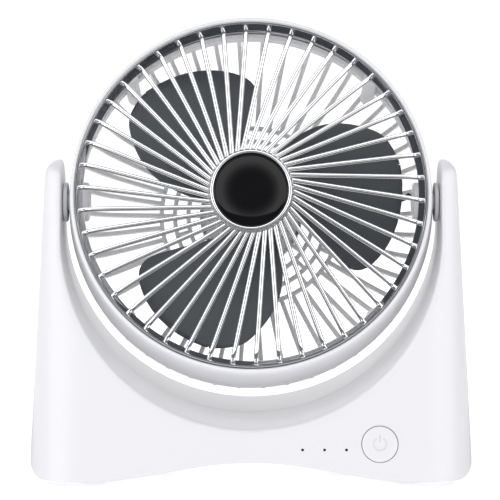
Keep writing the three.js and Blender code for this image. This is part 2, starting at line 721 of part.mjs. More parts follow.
function rearCover() {
  const rim = turned(
    [
      [HEAD_R - WALL, SEAM_Y + FIT],
      [HEAD_R, SEAM_Y + FIT],
      [HEAD_R, RIM_END_Y],
      [HEAD_R - WALL - 1, RIM_END_Y],
      [HEAD_R - 2 * WALL - FIT, SEAM_Y + FIT + 2],
      [HEAD_R - 2 * WALL - FIT, SEAM_Y - 4],
      [HEAD_R - WALL - FIT - 0.4, SEAM_Y - 4],
      [HEAD_R - WALL - FIT - 0.2, SEAM_Y + FIT],
    ],
    HEAD_SEGMENTS,
  );
  const ribs = Array.from({ length: REAR_RIBS }, (_, i) => rearRib((i * 360) / REAR_RIBS));
  const rings = Array.from({ length: CELL_ROWS + 1 }, (_, row) => {
    const radius = INNER_ZONE_R - row * CELL_ROW;
    const half = RIB_WIDTH / 2;
    return solid(turned(tubeProfile(radius - half, radius + half, BACK_Y - RIB_DEPTH, BACK_Y), 24));
  });
  const webs = [];
  for (let row = 0; row < CELL_ROWS; row++) {
    const middle = INNER_ZONE_R - (row + 0.5) * CELL_ROW;
    const count = 14 - row * 2;
    for (let i = 0; i < count; i++) {
      const [near, far] = [middle - CELL_ROW / 2, middle + CELL_ROW / 2];
      const web = block(near, far, BACK_Y - RIB_DEPTH + 0.1, BACK_Y - 0.1, -0.8, 0.8);
      webs.push(solid(web.rotateY(radians(((i + (row % 2) / 2) * 360) / count))));
    }
  }
  const cup = solid(
    turned(
      [
        [0, MOTOR_BACK_Y + FIT + 0.2],
        [CUP_R - WALL, MOTOR_BACK_Y + FIT + 0.2],
        [CUP_R - WALL, CUP_FRONT_Y],
        [CUP_R, CUP_FRONT_Y],
        [CUP_R, BACK_Y - RIB_DEPTH],
        [INNER_ZONE_R - CELL_ROWS * CELL_ROW + 0.5, BACK_Y - RIB_DEPTH],
        [INNER_ZONE_R - CELL_ROWS * CELL_ROW + 0.5, BACK_Y],
        [0, BACK_Y],
      ],
      46,
    ),
  );
  const postTop = BACK_Y - 9.5; // just under the ribs at the posts' radius
  const postsAndHoles = COVER_ANGLES.map(([, deg]) => {
    const [x, z] = aroundHead(COVER_POST_AT, deg);
    return {
      post: solid(rod("y", COVER_POST_R, SEAM_Y + FIT, postTop, x, z, 10)),
      hole: solid(rod("y", PILOT_R, SEAM_Y - 6, BACK_Y, x, z, 8)),
      head: solid(rod("y", SCREW_HEAD_R + FIT, COVER_HEAD_Y, BACK_Y + 1, x, z, 10)),
      clear: solid(rod("y", COVER_POST_R + FIT, SEAM_Y - 10, SEAM_Y + FIT, x, z, 10)),
    };
  });
  const bossGaps = [-1, 1].map((side) => {
    const near = side * (HEAD_R - 14);
    const far = side * HEAD_R;
    const half = PIVOT_BOSS_R + 1;
    return solid(block(Math.min(near, far), Math.max(near, far), -5, SEAM_Y + FIT, -half, half));
  });
  const whole = joined(solid(rim), ...ribs, ...rings, ...webs, cup, ...postsAndHoles.map((p) => p.post));
  return cut(whole, ...bossGaps, ...postsAndHoles.flatMap((p) => [p.hole, p.head, p.clear]));
}
head.add(part("rear_cover", rearCover(), "white"));

const COVER_SCREW_TIP_Y = SEAM_Y - 8.8;
const COVER_SCREW_LENGTH = COVER_HEAD_Y + FIT + SCREW_HEAD_H - COVER_SCREW_TIP_Y;
for (const [place, deg] of COVER_ANGLES) {
  const [x, z] = aroundHead(COVER_POST_AT, deg);
  const screw = screwShape(COVER_SCREW_LENGTH);
  screw.translate(x, COVER_SCREW_TIP_Y, z);
  head.add(part("cover_screw_" + place, screw, "steel"));
}

for (const [side, sideName] of [[-1, "left"], [1, "right"]]) {
  head.add(part("pivot_stub_" + sideName, pivotStub().rotateZ((-side * Math.PI) / 2), "white"));
  const screw = screwShape(PIVOT_SCREW_LENGTH, PIVOT_SCREW_HEAD_R);
  screw.translate(0, SHAFT_END_X + FIT + SCREW_HEAD_H - PIVOT_SCREW_LENGTH, 0);
  head.add(part("pivot_screw_" + sideName, screw.rotateZ((-side * Math.PI) / 2), "steel"));
}

// ---------- front grille and badge ----------
const RING_BACK_Y = SEAT_FRONT_Y - FIT;
const RING_FRONT_Y = LIP_Y - 0.8;
const HUB_FACE_Y = RING_FRONT_Y - HUB_RISE;

function spoke(deg) {
  const innerR = HUB_RING_R - 1.5;
  const outerR = RING_INNER_R + 1.6;
  const start = Math.sqrt(innerR ** 2 - SPOKE_OFFSET ** 2);
  const end = Math.sqrt(outerR ** 2 - SPOKE_OFFSET ** 2);
  const startY = HUB_FACE_Y + 2.6;
  const endY = RING_BACK_Y - SPOKE_DEPTH / 2 - 0.3;
  const slope = Math.atan2(endY - startY, end - start);
  const bar = new THREE.BoxGeometry(Math.hypot(end - start, endY - startY), SPOKE_DEPTH, SPOKE_WIDTH);
  bar.rotateZ(slope).translate((start + end) / 2, (startY + endY) / 2, SPOKE_OFFSET);
  return solid(bar.rotateY(radians(-deg)));
}

function frontGrille() {
  const ring = turned(
    [
      [RING_R, RING_BACK_Y],
      [RING_R, RING_FRONT_Y + 0.6],
      [RING_R - 0.6, RING_FRONT_Y],
      [RING_R - 1, RING_FRONT_Y],
      [RING_INNER_R, RING_FRONT_Y + 2.4],
      [RING_INNER_R, RING_BACK_Y],
    ],
    HEAD_SEGMENTS,
  );
  const hub = turned(
    [
      [0, HUB_FACE_Y + 3.4],
      [HUB_RING_R - 0.6, HUB_FACE_Y + 5],
      [HUB_RING_R, HUB_FACE_Y + 1.4],
      [HUB_RING_R - 0.8, HUB_FACE_Y],
      [BADGE_R + FIT + 0.4, HUB_FACE_Y],
      [BADGE_R + FIT, HUB_FACE_Y + 1.6],
      [0, HUB_FACE_Y + 1.6],
    ],
    SPOKES,
  );
  const spokes = Array.from({ length: SPOKES }, (_, i) => spoke((i * 360) / SPOKES));
  return joined(solid(ring), solid(hub), ...spokes);
}
head.add(part("front_grille", frontGrille(), "chrome"));

const badge = turned(
  [
    [0, HUB_FACE_Y + 1.6 - FIT],
    [BADGE_R, HUB_FACE_Y + 1.6 - FIT],
    [BADGE_R, HUB_FACE_Y + 0.4],
    [BADGE_R * 0.85, HUB_FACE_Y - 0.7],
    [BADGE_R * 0.6, HUB_FACE_Y - 1.5],
    [BADGE_R * 0.3, HUB_FACE_Y - 2],
    [0, HUB_FACE_Y - 2.1],
  ],
  28,
);
head.add(part("hub_badge", badge, "black"));

// ---------- motor ----------
const motorCan = turned(
  [
    [BUSH_R + FIT, MOTOR_BACK_Y],
    [MOTOR_R, MOTOR_BACK_Y],
    [MOTOR_R, MOTOR_FRONT_Y],
    [MOTOR_R - MOTOR_WALL, MOTOR_FRONT_Y],
    [MOTOR_R - MOTOR_WALL, MOTOR_BACK_Y - MOTOR_WALL],
    [BUSH_R + FIT, MOTOR_BACK_Y - MOTOR_WALL],
  ],
  24,
);
head.add(part("motor_can", motorCan, "steel"));
const CAP_BACK_Y = MOTOR_FRONT_Y - FIT;
const CAP_FRONT_Y = CAP_BACK_Y - 1.5;
const capProfile = tubeProfile(BUSH_R + FIT, MOTOR_R, CAP_FRONT_Y, CAP_BACK_Y);
head.add(part("motor_cap", turned(capProfile, 24), "black"));
const bush = (backY) => turned(tubeProfile(SHAFT_R + FIT, BUSH_R, backY - BUSH_LENGTH, backY), 12);
head.add(part("motor_bush_front", bush(CAP_BACK_Y + 0.8), "brass"));
head.add(part("motor_bush_rear", bush(MOTOR_BACK_Y), "brass"));

const leadX = PAD_X - PIVOT_BOSS_DEPTH - FIT - LEAD_R;
const leadY = BACK_Y - 2 * RIB_DEPTH - LEAD_R;
const motorLead = wire(
  [
    [leadX, 1, 3],
    [leadX - 1, 9, 3.5],
    [leadX - 7, leadY - 7, 4],
    [leadX - 18, leadY - 1, 4],
    [CUP_R + 14, leadY, 3],
    [CUP_R + 5, CUP_FRONT_Y, 0],
    [MOTOR_R + FIT + 0.4, CUP_FRONT_Y - 2 * LEAD_R, 0],
  ],
  14,
);
head.add(part("motor_lead", motorLead, "lead"));

// ---------- impeller ----------
// Blade outline in polar form, degrees from the blade's middle; the low side leads.
const BLADE_EDGE = [
  [0.21, -12],
  [0.36, -28],
  [0.52, -37],
  [0.69, -41],
  [0.82, -38],
  [0.92, -29],
  [0.98, -12],
  [1.0, 3],
  [0.97, 14],
  [0.89, 21],
  [0.69, 34],
  [0.5, 43],
  [0.34, 50],
  [0.21, 58],
];

function blade() {
  const corners = BLADE_EDGE.map(([share, deg]) => {
    const radius = share * BLADE_TIP_R;
    return new THREE.Vector2(radius * Math.cos(radians(deg)), radius * Math.sin(radians(deg)));
  });
  const outline = new THREE.SplineCurve(corners).getPoints(24);
  const shape = new THREE.Shape(outline);
  const plate = new THREE.ExtrudeGeometry(shape, { depth: BLADE_THICKNESS, bevelEnabled: false });
  plate.translate(0, 0, -BLADE_THICKNESS / 2).rotateX(Math.PI / 2);
  return plate.rotateX(radians(BLADE_PITCH));
}

function impellerShape() {
  const middle = (HUB_FRONT_Y + HUB_BACK_Y) / 2;
  const hubOutside = solid(turned(discProfile(IMPELLER_HUB_R, HUB_FRONT_Y, HUB_BACK_Y), 40));
  const blades = Array.from({ length: BLADES }, (_, i) => {
    const aim = radians(BLADE_AIM + (i * 360) / BLADES);
    return solid(blade().rotateY(-aim).translate(0, middle, 0));
  });
  const hollow = solid(
    turned(tubeProfile(SHAFT_R + 3, IMPELLER_HUB_R - WALL, HUB_FRONT_Y + WALL, HUB_BACK_Y + 1), 40),
  );
  const shorten = solid(turned(discProfile(SHAFT_R + 3.5, HUB_BACK_Y - 3, HUB_BACK_Y + 1), 24));
  const bore = solid(turned(discProfile(SHAFT_R + FIT, HUB_FRONT_Y + WALL, HUB_BACK_Y + 2), 20));
  return cut(joined(hubOutside, ...blades), hollow, shorten, bore);
}

const impeller = new THREE.Group();
impeller.add(part("impeller", impellerShape(), "slate"));
const shaftFront = HUB_FRONT_Y + WALL + 1;
impeller.add(part("motor_shaft", turned(discProfile(SHAFT_R, shaftFront, MOTOR_BACK_Y), 16), "steel"));
const rotorProfile = tubeProfile(SHAFT_R + FIT, MOTOR_R - MOTOR_WALL - 1.2, MOTOR_FRONT_Y + 2,
  MOTOR_BACK_Y - BUSH_LENGTH - 1);
impeller.add(part("motor_rotor", turned(rotorProfile, 24), "steel"));
head.add(impeller);

// ---------- whole fan ----------
const fan = new THREE.Group();
fan.add(base, head);
export default fan;
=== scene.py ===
"""Desk fan: the visible pieces and finishes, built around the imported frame.

Sizes are in millimetres and are turned into metres where a mesh is made.
Head pieces are shaped about the Y axis with the pivot at the origin, then tilted into place.
"""
import json
import math

import bpy
from mathutils import Matrix, Vector


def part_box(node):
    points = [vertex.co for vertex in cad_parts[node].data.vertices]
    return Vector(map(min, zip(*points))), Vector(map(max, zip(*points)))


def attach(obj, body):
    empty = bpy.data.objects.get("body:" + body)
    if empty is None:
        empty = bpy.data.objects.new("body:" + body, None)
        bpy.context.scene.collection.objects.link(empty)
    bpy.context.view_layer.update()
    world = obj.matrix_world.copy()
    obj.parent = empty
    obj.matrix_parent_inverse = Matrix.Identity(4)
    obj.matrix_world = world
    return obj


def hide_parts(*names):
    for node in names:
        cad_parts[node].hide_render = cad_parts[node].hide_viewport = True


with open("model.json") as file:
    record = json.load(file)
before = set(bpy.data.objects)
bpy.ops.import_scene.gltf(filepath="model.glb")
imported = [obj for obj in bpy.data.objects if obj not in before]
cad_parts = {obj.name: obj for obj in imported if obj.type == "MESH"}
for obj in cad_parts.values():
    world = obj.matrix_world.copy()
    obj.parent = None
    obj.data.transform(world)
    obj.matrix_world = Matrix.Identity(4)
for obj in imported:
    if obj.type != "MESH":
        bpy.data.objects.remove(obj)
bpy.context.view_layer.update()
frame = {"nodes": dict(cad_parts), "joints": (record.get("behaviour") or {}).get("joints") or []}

MM = 0.001
joints = {joint["name"]: joint for joint in frame["joints"]}
PIVOT = Vector(joints["head_tilt"]["pos_m"])
PIVOT_Z = PIVOT.z / MM
AIR_AXIS = Vector(joints["impeller_spin"]["axis"])
HEAD_TILT = math.atan2(AIR_AXIS.z, -AIR_AXIS.y)

# ---------- sizes ----------
HEAD_R = 79.5
LIP_R = 77.0
LIP_Y = -21.0
SEAM_Y = 9.2
RIM_END_Y = 14.5
BACK_Y = 34.0
RING_R = 75.0
RING_INNER_R = 71.6
SPOKES = 46
SPOKE_OFFSET = 7.0
BADGE_R = 15.6
BLADE_TIP_R = 66.0
IMPELLER_HUB_R = 16.5
HUB_FRONT_Y = -12.0
HUB_BACK_Y = 8.0
REAR_RIBS = 46
RIB_WIDTH = 1.9
RIB_DEPTH = 3.2
INNER_ZONE_R = 40.0
CELL_ROW = 6.0
CELL_ROWS = 3
CELLS_IN_OUTER_ROW = 14
CELLS_LOST_PER_ROW = 2
POST_R = 3.2
POST_GAP = 0.4

WALL = 2.2
SEAM_GAP = 0.3
SCOOP_R = 81.3
SCOOP_Z = 104.0
ARM_TOP_Z = 134.0
ARM_HALF_DEPTH = 19.0
ARM_TOP_ROUND = 6.5
BASE_HALF_WIDTH = 94.5
BASE_HALF_DEPTH = 50.0
BASE_FLARE = 5.0
PLAN_ROUND = 22.0
FLOOR_GAP = 1.5
ARCH_RISE = 8.0
ARCH_HALF = 70.0
BOTTOM_ROUND = 7.0
CORNER_Z = FLOOR_GAP + BOTTOM_ROUND
PANEL_SLOPE = (BASE_HALF_DEPTH - ARM_HALF_DEPTH) / PIVOT_Z
PANEL_LEAN = math.atan(PANEL_SLOPE)
BUTTON_R = 7.5
BUTTON_X = 54.0
BUTTON_Z = 17.0
LAMP_XS = (21.6, 30.8, 40.0)
LAMP_Z = 14.7


def half_width_at(z):
    return BASE_HALF_WIDTH - BASE_FLARE * z / PIVOT_Z


def half_depth_at(z):
    return BASE_HALF_DEPTH - PANEL_SLOPE * z


CORNER_X = half_width_at(CORNER_Z) - BOTTOM_ROUND


def arch_z(x):
    share = min(abs(x) / ARCH_HALF, 1)
    return FLOOR_GAP + ARCH_RISE * (0.5 + 0.5 * math.cos(math.pi * share))


# ---------- modelling helpers ----------
def deselect():
    if bpy.context.mode != "OBJECT":
        bpy.ops.object.mode_set(mode="OBJECT")
    bpy.ops.object.select_all(action="DESELECT")


def only(piece):
    deselect()
    piece.select_set(True)
    bpy.context.view_layer.objects.active = piece
    return piece


def named(name):
    piece = bpy.context.active_object
    piece.name = name
    piece.data.name = name
    return piece


def settle(piece):
    """Writes the piece's place and turn into its mesh."""
    only(piece)
    bpy.ops.object.transform_apply(location=True, rotation=True, scale=True)
    return piece


def modify(piece, kind, **settings):
    only(piece)
    change = piece.modifiers.new(kind.lower(), kind)
    for key, value in settings.items():
        setattr(change, key, value)
    bpy.ops.object.modifier_apply(modifier=change.name)
    return piece


def soften(piece, width, segments=2, angle=35):
    return modify(piece, "BEVEL", width=width * MM, segments=segments, limit_method="ANGLE",
                  angle_limit=math.radians(angle), harden_normals=False)


def smooth(piece, angle=40):
    only(piece)
    bpy.ops.object.shade_smooth_by_angle(angle=math.radians(angle))
    return piece


def tidy_normals(piece):
    only(piece)
    bpy.ops.object.mode_set(mode="EDIT")
    bpy.ops.mesh.select_all(action="SELECT")
    bpy.ops.mesh.remove_doubles(threshold=0.00001)
    bpy.ops.mesh.normals_make_consistent(inside=False)
    bpy.ops.object.mode_set(mode="OBJECT")
    return piece


def chain(name, points):
    """A line of edges through the points, left in edit mode."""
    deselect()
    spots = [Vector(p) * MM for p in points]
    bpy.ops.mesh.primitive_plane_add(size=0.001, location=spots[0])
    piece = settle(named(name))
    bpy.ops.object.mode_set(mode="EDIT")
    bpy.ops.mesh.select_all(action="SELECT")
    bpy.ops.mesh.merge(type="CENTER")
    for here, there in zip(spots, spots[1:]):
        bpy.ops.mesh.extrude_region_move(TRANSFORM_OT_translate={"value": there - here})
    bpy.ops.mesh.select_all(action="SELECT")
    return piece


def spun(name, profile, steps=128, bevel=0.0, angle=40):
    """A ring or disc about Y from its [radius, y] profile."""
    piece = chain(name, [(r, y, 0) for r, y in profile])
    if profile[0][0] > 0 or profile[-1][0] > 0:
        bpy.ops.mesh.edge_face_add()
        bpy.ops.mesh.delete(type="ONLY_FACE")
        bpy.ops.mesh.select_all(action="SELECT")
    bpy.ops.mesh.spin(steps=steps, angle=math.tau, center=(0, 0, 0), axis=(0, 1, 0))
    tidy_normals(piece)
    if bevel:
        soften(piece, bevel)
    return smooth(piece, angle)


def prism(name, outline, travel, bevel=0.0, angle=40):
    """A flat outline pushed along one direction."""
    piece = chain(name, outline)
    bpy.ops.mesh.edge_face_add()
    bpy.ops.mesh.extrude_region_move(TRANSFORM_OT_translate={"value": Vector(travel) * MM})
    tidy_normals(piece)
    if bevel:
        soften(piece, bevel)
    return smooth(piece, angle)


def block(name, low, high, bevel=0.3):
    deselect()
    low, high = Vector(low) * MM, Vector(high) * MM
    bpy.ops.mesh.primitive_cube_add(size=1, location=(low + high) / 2)
    piece = named(name)
    piece.scale = high - low
    settle(piece)
    soften(piece, bevel)
    return smooth(piece)


def joined(name, pieces):
    deselect()
    for piece in pieces:
        piece.select_set(True)
    bpy.context.view_layer.objects.active = pieces[0]
    bpy.ops.object.join()
    return named(name)


def twin(piece, turn):
    copy = piece.copy()
    copy.data = piece.data.copy()
    bpy.context.scene.collection.objects.link(copy)
    copy.data.transform(turn)
    return copy


def about_axis(piece, count, name=None, start=0.0):
    """The piece repeated around the Y axis, as one piece."""
    turns = [Matrix.Rotation(-math.radians(start) - math.tau * i / count, 4, "Y") for i in range(count)]
    copies = [twin(piece, turn) for turn in turns]
    bpy.data.objects.remove(piece)
    return joined(name or "ring_of_pieces", copies)


def in_head(piece):
    piece.location = PIVOT
    piece.rotation_euler = (-HEAD_TILT, 0, 0)
    return settle(piece)


def to_side(piece, side):
    """Turns a piece shaped about +Y to point left (-1) or right (1)."""
    piece.data.transform(Matrix.Rotation(-side * math.pi / 2, 4, "Z"))
    return piece


def on_panel(piece, x, z):
    """Stands a piece shaped about Y on the leaning front panel, with +Y outwards."""
    piece.location = Vector((x, -half_depth_at(z), z)) * MM
    piece.rotation_euler = (math.pi - PANEL_LEAN, 0, 0)
    return settle(piece)


def subtract(piece, cutter):
    modify(piece, "BOOLEAN", operation="DIFFERENCE", object=cutter, solver="EXACT")
    bpy.data.objects.remove(cutter)
    return piece


def arc(cx, cy, radius, start, end, pieces):
    spots = []
    for i in range(pieces + 1):
        a = math.radians(start + (end - start) * i / pieces)
        spots.append((cx + radius * math.cos(a), cy + radius * math.sin(a)))
    return spots


def smooth_line(points, pieces):
    """Catmull-Rom line through 2-D points."""
    spots = []
    count = len(points) - 1
    for i in range(count):
        a = points[max(i - 1, 0)]
        b, c = points[i], points[i + 1]
        d = points[min(i + 2, count)]
        for k in range(pieces):
            t = k / pieces
            spots.append(tuple(
                0.5 * (2 * b[j] + (c[j] - a[j]) * t + (2 * a[j] - 5 * b[j] + 4 * c[j] - d[j]) * t * t
                       + (3 * b[j] - a[j] - 3 * c[j] + d[j]) * t ** 3)
                for j in range(2)))
    spots.append(points[-1])
    return spots


def between(table, x):
    """Straight-line lookup in a list of (x, value) pairs."""
    for (x0, v0), (x1, v1) in zip(table, table[1:]):
        if x <= x1:
            return v0 + (v1 - v0) * (x - x0) / (x1 - x0)
    return table[-1][1]


# ---------- finishes ----------
# Socket numbers of a mix node that blends colours.
MIX_SHARE = 0
MIX_FIRST = 6
MIX_SECOND = 7
MIX_COLOR = 2


def new_group(name, sockets_in, sockets_out):
    group = bpy.data.node_groups.new(name, "ShaderNodeTree")
    for label, kind, value in sockets_in:
        socket = group.interface.new_socket(name=label, in_out="INPUT", socket_type=kind)
        socket.default_value = value
    for label, kind in sockets_out:
        group.interface.new_socket(name=label, in_out="OUTPUT", socket_type=kind)
    return group, group.nodes.new("NodeGroupInput"), group.nodes.new("NodeGroupOutput")


def math_node(tree, operation, first, second):
    node = tree.nodes.new("ShaderNodeMath")
    node.operation = operation
    for socket, value in zip(node.inputs, (first, second)):
        if isinstance(value, (int, float)):
            socket.default_value = value
        else:
            tree.links.new(value, socket)
    return node.outputs[0]


def noise_node(tree, vector, scale, detail=3.0):
    node = tree.nodes.new("ShaderNodeTexNoise")
    node.inputs["Detail"].default_value = detail
    tree.links.new(vector, node.inputs["Vector"])
    tree.links.new(scale, node.inputs["Scale"])
    return node.outputs["Fac"]


def make_moulded_surface():
    """Slow drift of tone and gloss, and a fine moulded grain."""
    group, enter, leave = new_group(
        "moulded_surface",
        [("Scale", "NodeSocketFloat", 30.0), ("Grain", "NodeSocketFloat", 900.0),
         ("Tone A", "NodeSocketColor", (0.8, 0.8, 0.8, 1)), ("Tone B", "NodeSocketColor", (0.7, 0.7, 0.7, 1)),
         ("Rough Low", "NodeSocketFloat", 0.3), ("Rough High", "NodeSocketFloat", 0.4)],
        [("Color", "NodeSocketColor"), ("Roughness", "NodeSocketFloat"), ("Height", "NodeSocketFloat")])
    place = group.nodes.new("ShaderNodeTexCoord").outputs["Object"]
    drift = noise_node(group, place, enter.outputs["Scale"])
    grain = noise_node(group, place, enter.outputs["Grain"], 2.0)
    tone = group.nodes.new("ShaderNodeMix")
    tone.data_type = "RGBA"
    group.links.new(drift, tone.inputs[MIX_SHARE])
    group.links.new(enter.outputs["Tone A"], tone.inputs[MIX_FIRST])
    group.links.new(enter.outputs["Tone B"], tone.inputs[MIX_SECOND])
    span = math_node(group, "SUBTRACT", enter.outputs["Rough High"], enter.outputs["Rough Low"])
    broad = math_node(group, "MULTIPLY", drift, 0.6)
    fine = math_node(group, "MULTIPLY", grain, 0.4)
    mixed = math_node(group, "ADD", broad, fine)
    rough = math_node(group, "ADD", enter.outputs["Rough Low"], math_node(group, "MULTIPLY", span, mixed))
    group.links.new(tone.outputs[MIX_COLOR], leave.inputs["Color"])
    group.links.new(rough, leave.inputs["Roughness"])
    group.links.new(grain, leave.inputs["Height"])
    return group


def make_edge_wear():
    """A mask that is bright along rubbed edges."""
    group, enter, leave = new_group(
        "edge_wear", [("Amount", "NodeSocketFloat", 0.5), ("Scale", "NodeSocketFloat", 400.0)],
        [("Mask", "NodeSocketFloat")])
    place = group.nodes.new("ShaderNodeTexCoord").outputs["Object"]
    edge = group.nodes.new("ShaderNodeNewGeometry").outputs["Pointiness"]
    sharp = math_node(group, "MULTIPLY", math_node(group, "SUBTRACT", edge, 0.52), 9.0)
    broken = math_node(group, "MULTIPLY", sharp, noise_node(group, place, enter.outputs["Scale"]))
    mask = group.nodes.new("ShaderNodeClamp")
    group.links.new(math_node(group, "MULTIPLY", broken, enter.outputs["Amount"]), mask.inputs["Value"])
    group.links.new(mask.outputs[0], leave.inputs["Mask"])
    return group


MOULDED = make_moulded_surface()
WEAR = make_edge_wear()


def finish(name, tone_a, tone_b, rough, scale=30.0, grain=900.0, bump=0.00002, worn=None, worn_amount=0.5,
           **shader_values):
    """A material with the shared moulded surface, and edge wear where a worn colour is given."""
    material = bpy.data.materials.new(name)
    material.use_nodes = True
    tree = material.node_tree
    shader = tree.nodes["Principled BSDF"]
    surface = tree.nodes.new("ShaderNodeGroup")
    surface.node_tree = MOULDED
    surface.inputs["Scale"].default_value = scale
    surface.inputs["Grain"].default_value = grain
    surface.inputs["Tone A"].default_value = (*tone_a, 1)
    surface.inputs["Tone B"].default_value = (*tone_b, 1)
    surface.inputs["Rough Low"].default_value, surface.inputs["Rough High"].default_value = rough
    color = surface.outputs["Color"]
    if worn:
        wear = tree.nodes.new("ShaderNodeGroup")
        wear.node_tree = WEAR
        wear.inputs["Amount"].default_value = worn_amount
        mix = tree.nodes.new("ShaderNodeMix")
        mix.data_type = "RGBA"
        tree.links.new(wear.outputs["Mask"], mix.inputs[MIX_SHARE])
        tree.links.new(color, mix.inputs[MIX_FIRST])
        mix.inputs[MIX_SECOND].default_value = (*worn, 1)
        color = mix.outputs[MIX_COLOR]
    tree.links.new(color, shader.inputs["Base Color"])
    tree.links.new(surface.outputs["Roughness"], shader.inputs["Roughness"])
    ripple = tree.nodes.new("ShaderNodeBump")
    ripple.inputs["Distance"].default_value = bump
    tree.links.new(surface.outputs["Height"], ripple.inputs["Height"])
    tree.links.new(ripple.outputs["Normal"], shader.inputs["Normal"])
    for label, value in shader_values.items():
        shader.inputs[label.replace("_", " ")].default_value = value
    return material


WHITE = finish("white_shell", (0.84, 0.84, 0.865), (0.86, 0.86, 0.88), (0.3, 0.4), scale=14, grain=2200,
               bump=0.000012, Coat_Weight=0.12)
# Painted light: the rear cage white is lighter than white_shell, a painted lift against the shade the blades
# and grille cast on its ribs.
CAGE_WHITE_PAINTED_LIFT = finish("cage_white_painted_lift", (0.87, 0.86, 0.87), (0.90, 0.89, 0.90), (0.34, 0.46), scale=18, grain=2200,
                    bump=0.000015)
CHROME = finish("chrome_plate", (0.86, 0.87, 0.88), (0.80, 0.81, 0.83), (0.05, 0.11), scale=60, grain=700,
                bump=0.000003, Metallic=1.0)
BLACK_GLOSS = finish("black_gloss", (0.002, 0.002, 0.003), (0.005, 0.005, 0.006), (0.05, 0.1), scale=90,
                     grain=1500, bump=0.000002, Specular_IOR_Level=0.2, Coat_Weight=0.1, Coat_Roughness=0.03)
SLATE = finish("blade_slate", (0.060, 0.067, 0.075), (0.072, 0.080, 0.090), (0.36, 0.48), scale=22,
               grain=1800, bump=0.00002, worn=(0.12, 0.13, 0.14), worn_amount=0.4)
RUBBER = finish("foot_rubber", (0.34, 0.34, 0.35), (0.42, 0.42, 0.43), (0.75, 0.9), scale=120, grain=2600,
                bump=0.00004, worn=(0.55, 0.55, 0.54))
BLACK_MOULDING = finish("black_moulding", (0.015, 0.015, 0.017), (0.028, 0.028, 0.03), (0.5, 0.65),
                        grain=1600)
STEEL = finish("screw_steel", (0.50, 0.50, 0.51), (0.42, 0.42, 0.44), (0.25, 0.42), scale=300, grain=1800,
               worn=(0.75, 0.74, 0.72), worn_amount=0.8, Metallic=1.0)
NICKEL = finish("socket_steel", (0.62, 0.62, 0.63), (0.52, 0.52, 0.54), (0.2, 0.32), scale=200, grain=1500,
                Metallic=1.0)
MOTOR_STEEL = finish("motor_steel", (0.45, 0.45, 0.46), (0.36, 0.36, 0.38), (0.3, 0.45), scale=150,
                     grain=1400, Metallic=1.0)
BRASS = finish("bush_brass", (0.60, 0.42, 0.16), (0.50, 0.34, 0.12), (0.28, 0.4), scale=200, grain=1500,
               Metallic=1.0)
BOARD = finish("circuit_board", (0.012, 0.085, 0.038), (0.02, 0.12, 0.055), (0.35, 0.5), scale=500,
               grain=1200)
WRAP = finish("battery_wrap", (0.02, 0.10, 0.30), (0.03, 0.14, 0.38), (0.25, 0.35), scale=60, grain=900)
LAMP = finish("lamp_clear", (0.05, 0.05, 0.055), (0.09, 0.09, 0.095), (0.1, 0.2), scale=300, grain=900)
SHEATH = finish("lead_sheath", (0.012, 0.012, 0.013), (0.025, 0.025, 0.027), (0.45, 0.6), scale=200,
                grain=1800)
MARK = finish("button_mark", (0.72, 0.72, 0.74), (0.76, 0.76, 0.78), (0.4, 0.5), scale=100, grain=1500)


def dress(piece, material, slot, body, *nodes):
    """Gives a finished piece its material and body, and hides the frame nodes that it stands for."""
    piece.data.materials.clear()
    piece.data.materials.append(material)
    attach(piece, body)
    if nodes:
        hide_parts(*nodes)
    return piece


# ---------- camera ----------
CAMERA_AT = (-0.43, -996.7, 198.8)
CAMERA_DROP = 6.0
camera_data = bpy.data.cameras.new("camera")
camera_data.lens = 165.9
camera_data.sensor_width = 36
camera_data.clip_end = 50
camera = bpy.data.objects.new("camera", camera_data)
camera.location = Vector(CAMERA_AT) * MM
camera.rotation_euler = (math.radians(90 - CAMERA_DROP), 0, 0)
bpy.context.scene.collection.objects.link(camera)
bpy.context.scene.camera = camera


# ---------- base casing ----------
VOXEL = 1.2
SOFTENING_ROUNDS = 12
SPARE_BELOW = 7.0


def front_outline():
    """The casing seen from the front, as (x, z) points."""
    top_x = half_width_at(ARM_TOP_Z) - ARM_TOP_ROUND
    half = [(CORNER_X + BOTTOM_ROUND, -SPARE_BELOW), (CORNER_X + BOTTOM_ROUND, CORNER_Z)]
    half += arc(top_x, ARM_TOP_Z - ARM_TOP_ROUND, ARM_TOP_ROUND, 0, 90, 8)
    half += [(SCOOP_R, ARM_TOP_Z)]
    half += arc(0, SCOOP_Z, SCOOP_R, 0, -90, 48)
    mirrored = [(-x, z) for x, z in reversed(half[:-1])]
    return half + mirrored


def lower_outline():
    """The arched underside and its round corners, as (x, z) points."""
    corner = arc(CORNER_X, CORNER_Z, BOTTOM_ROUND, 0, -90, 12)
    spots = [(BASE_HALF_WIDTH + 5, CORNER_Z)] + corner
    spots += [(x, arch_z(x)) for x in (ARCH_HALF - ARCH_HALF * i / 20 for i in range(41))]
    return spots + [(-x, z) for x, z in reversed(corner)] + [(-BASE_HALF_WIDTH - 5, CORNER_Z)]


def plan_outline():
    """The casing seen from above at its lowest level, as (x, y) points."""
    half_w, half_d = half_width_at(-SPARE_BELOW - 2), half_depth_at(-SPARE_BELOW - 2)
    spots = []
    for side_x, side_y, start in ((1, 1, 0), (-1, 1, 90), (-1, -1, 180), (1, -1, 270)):
        x = side_x * (half_w - PLAN_ROUND)
        y = side_y * (half_d - PLAN_ROUND)
        spots += arc(x, y, PLAN_ROUND, start, start + 90, 14)
    return spots


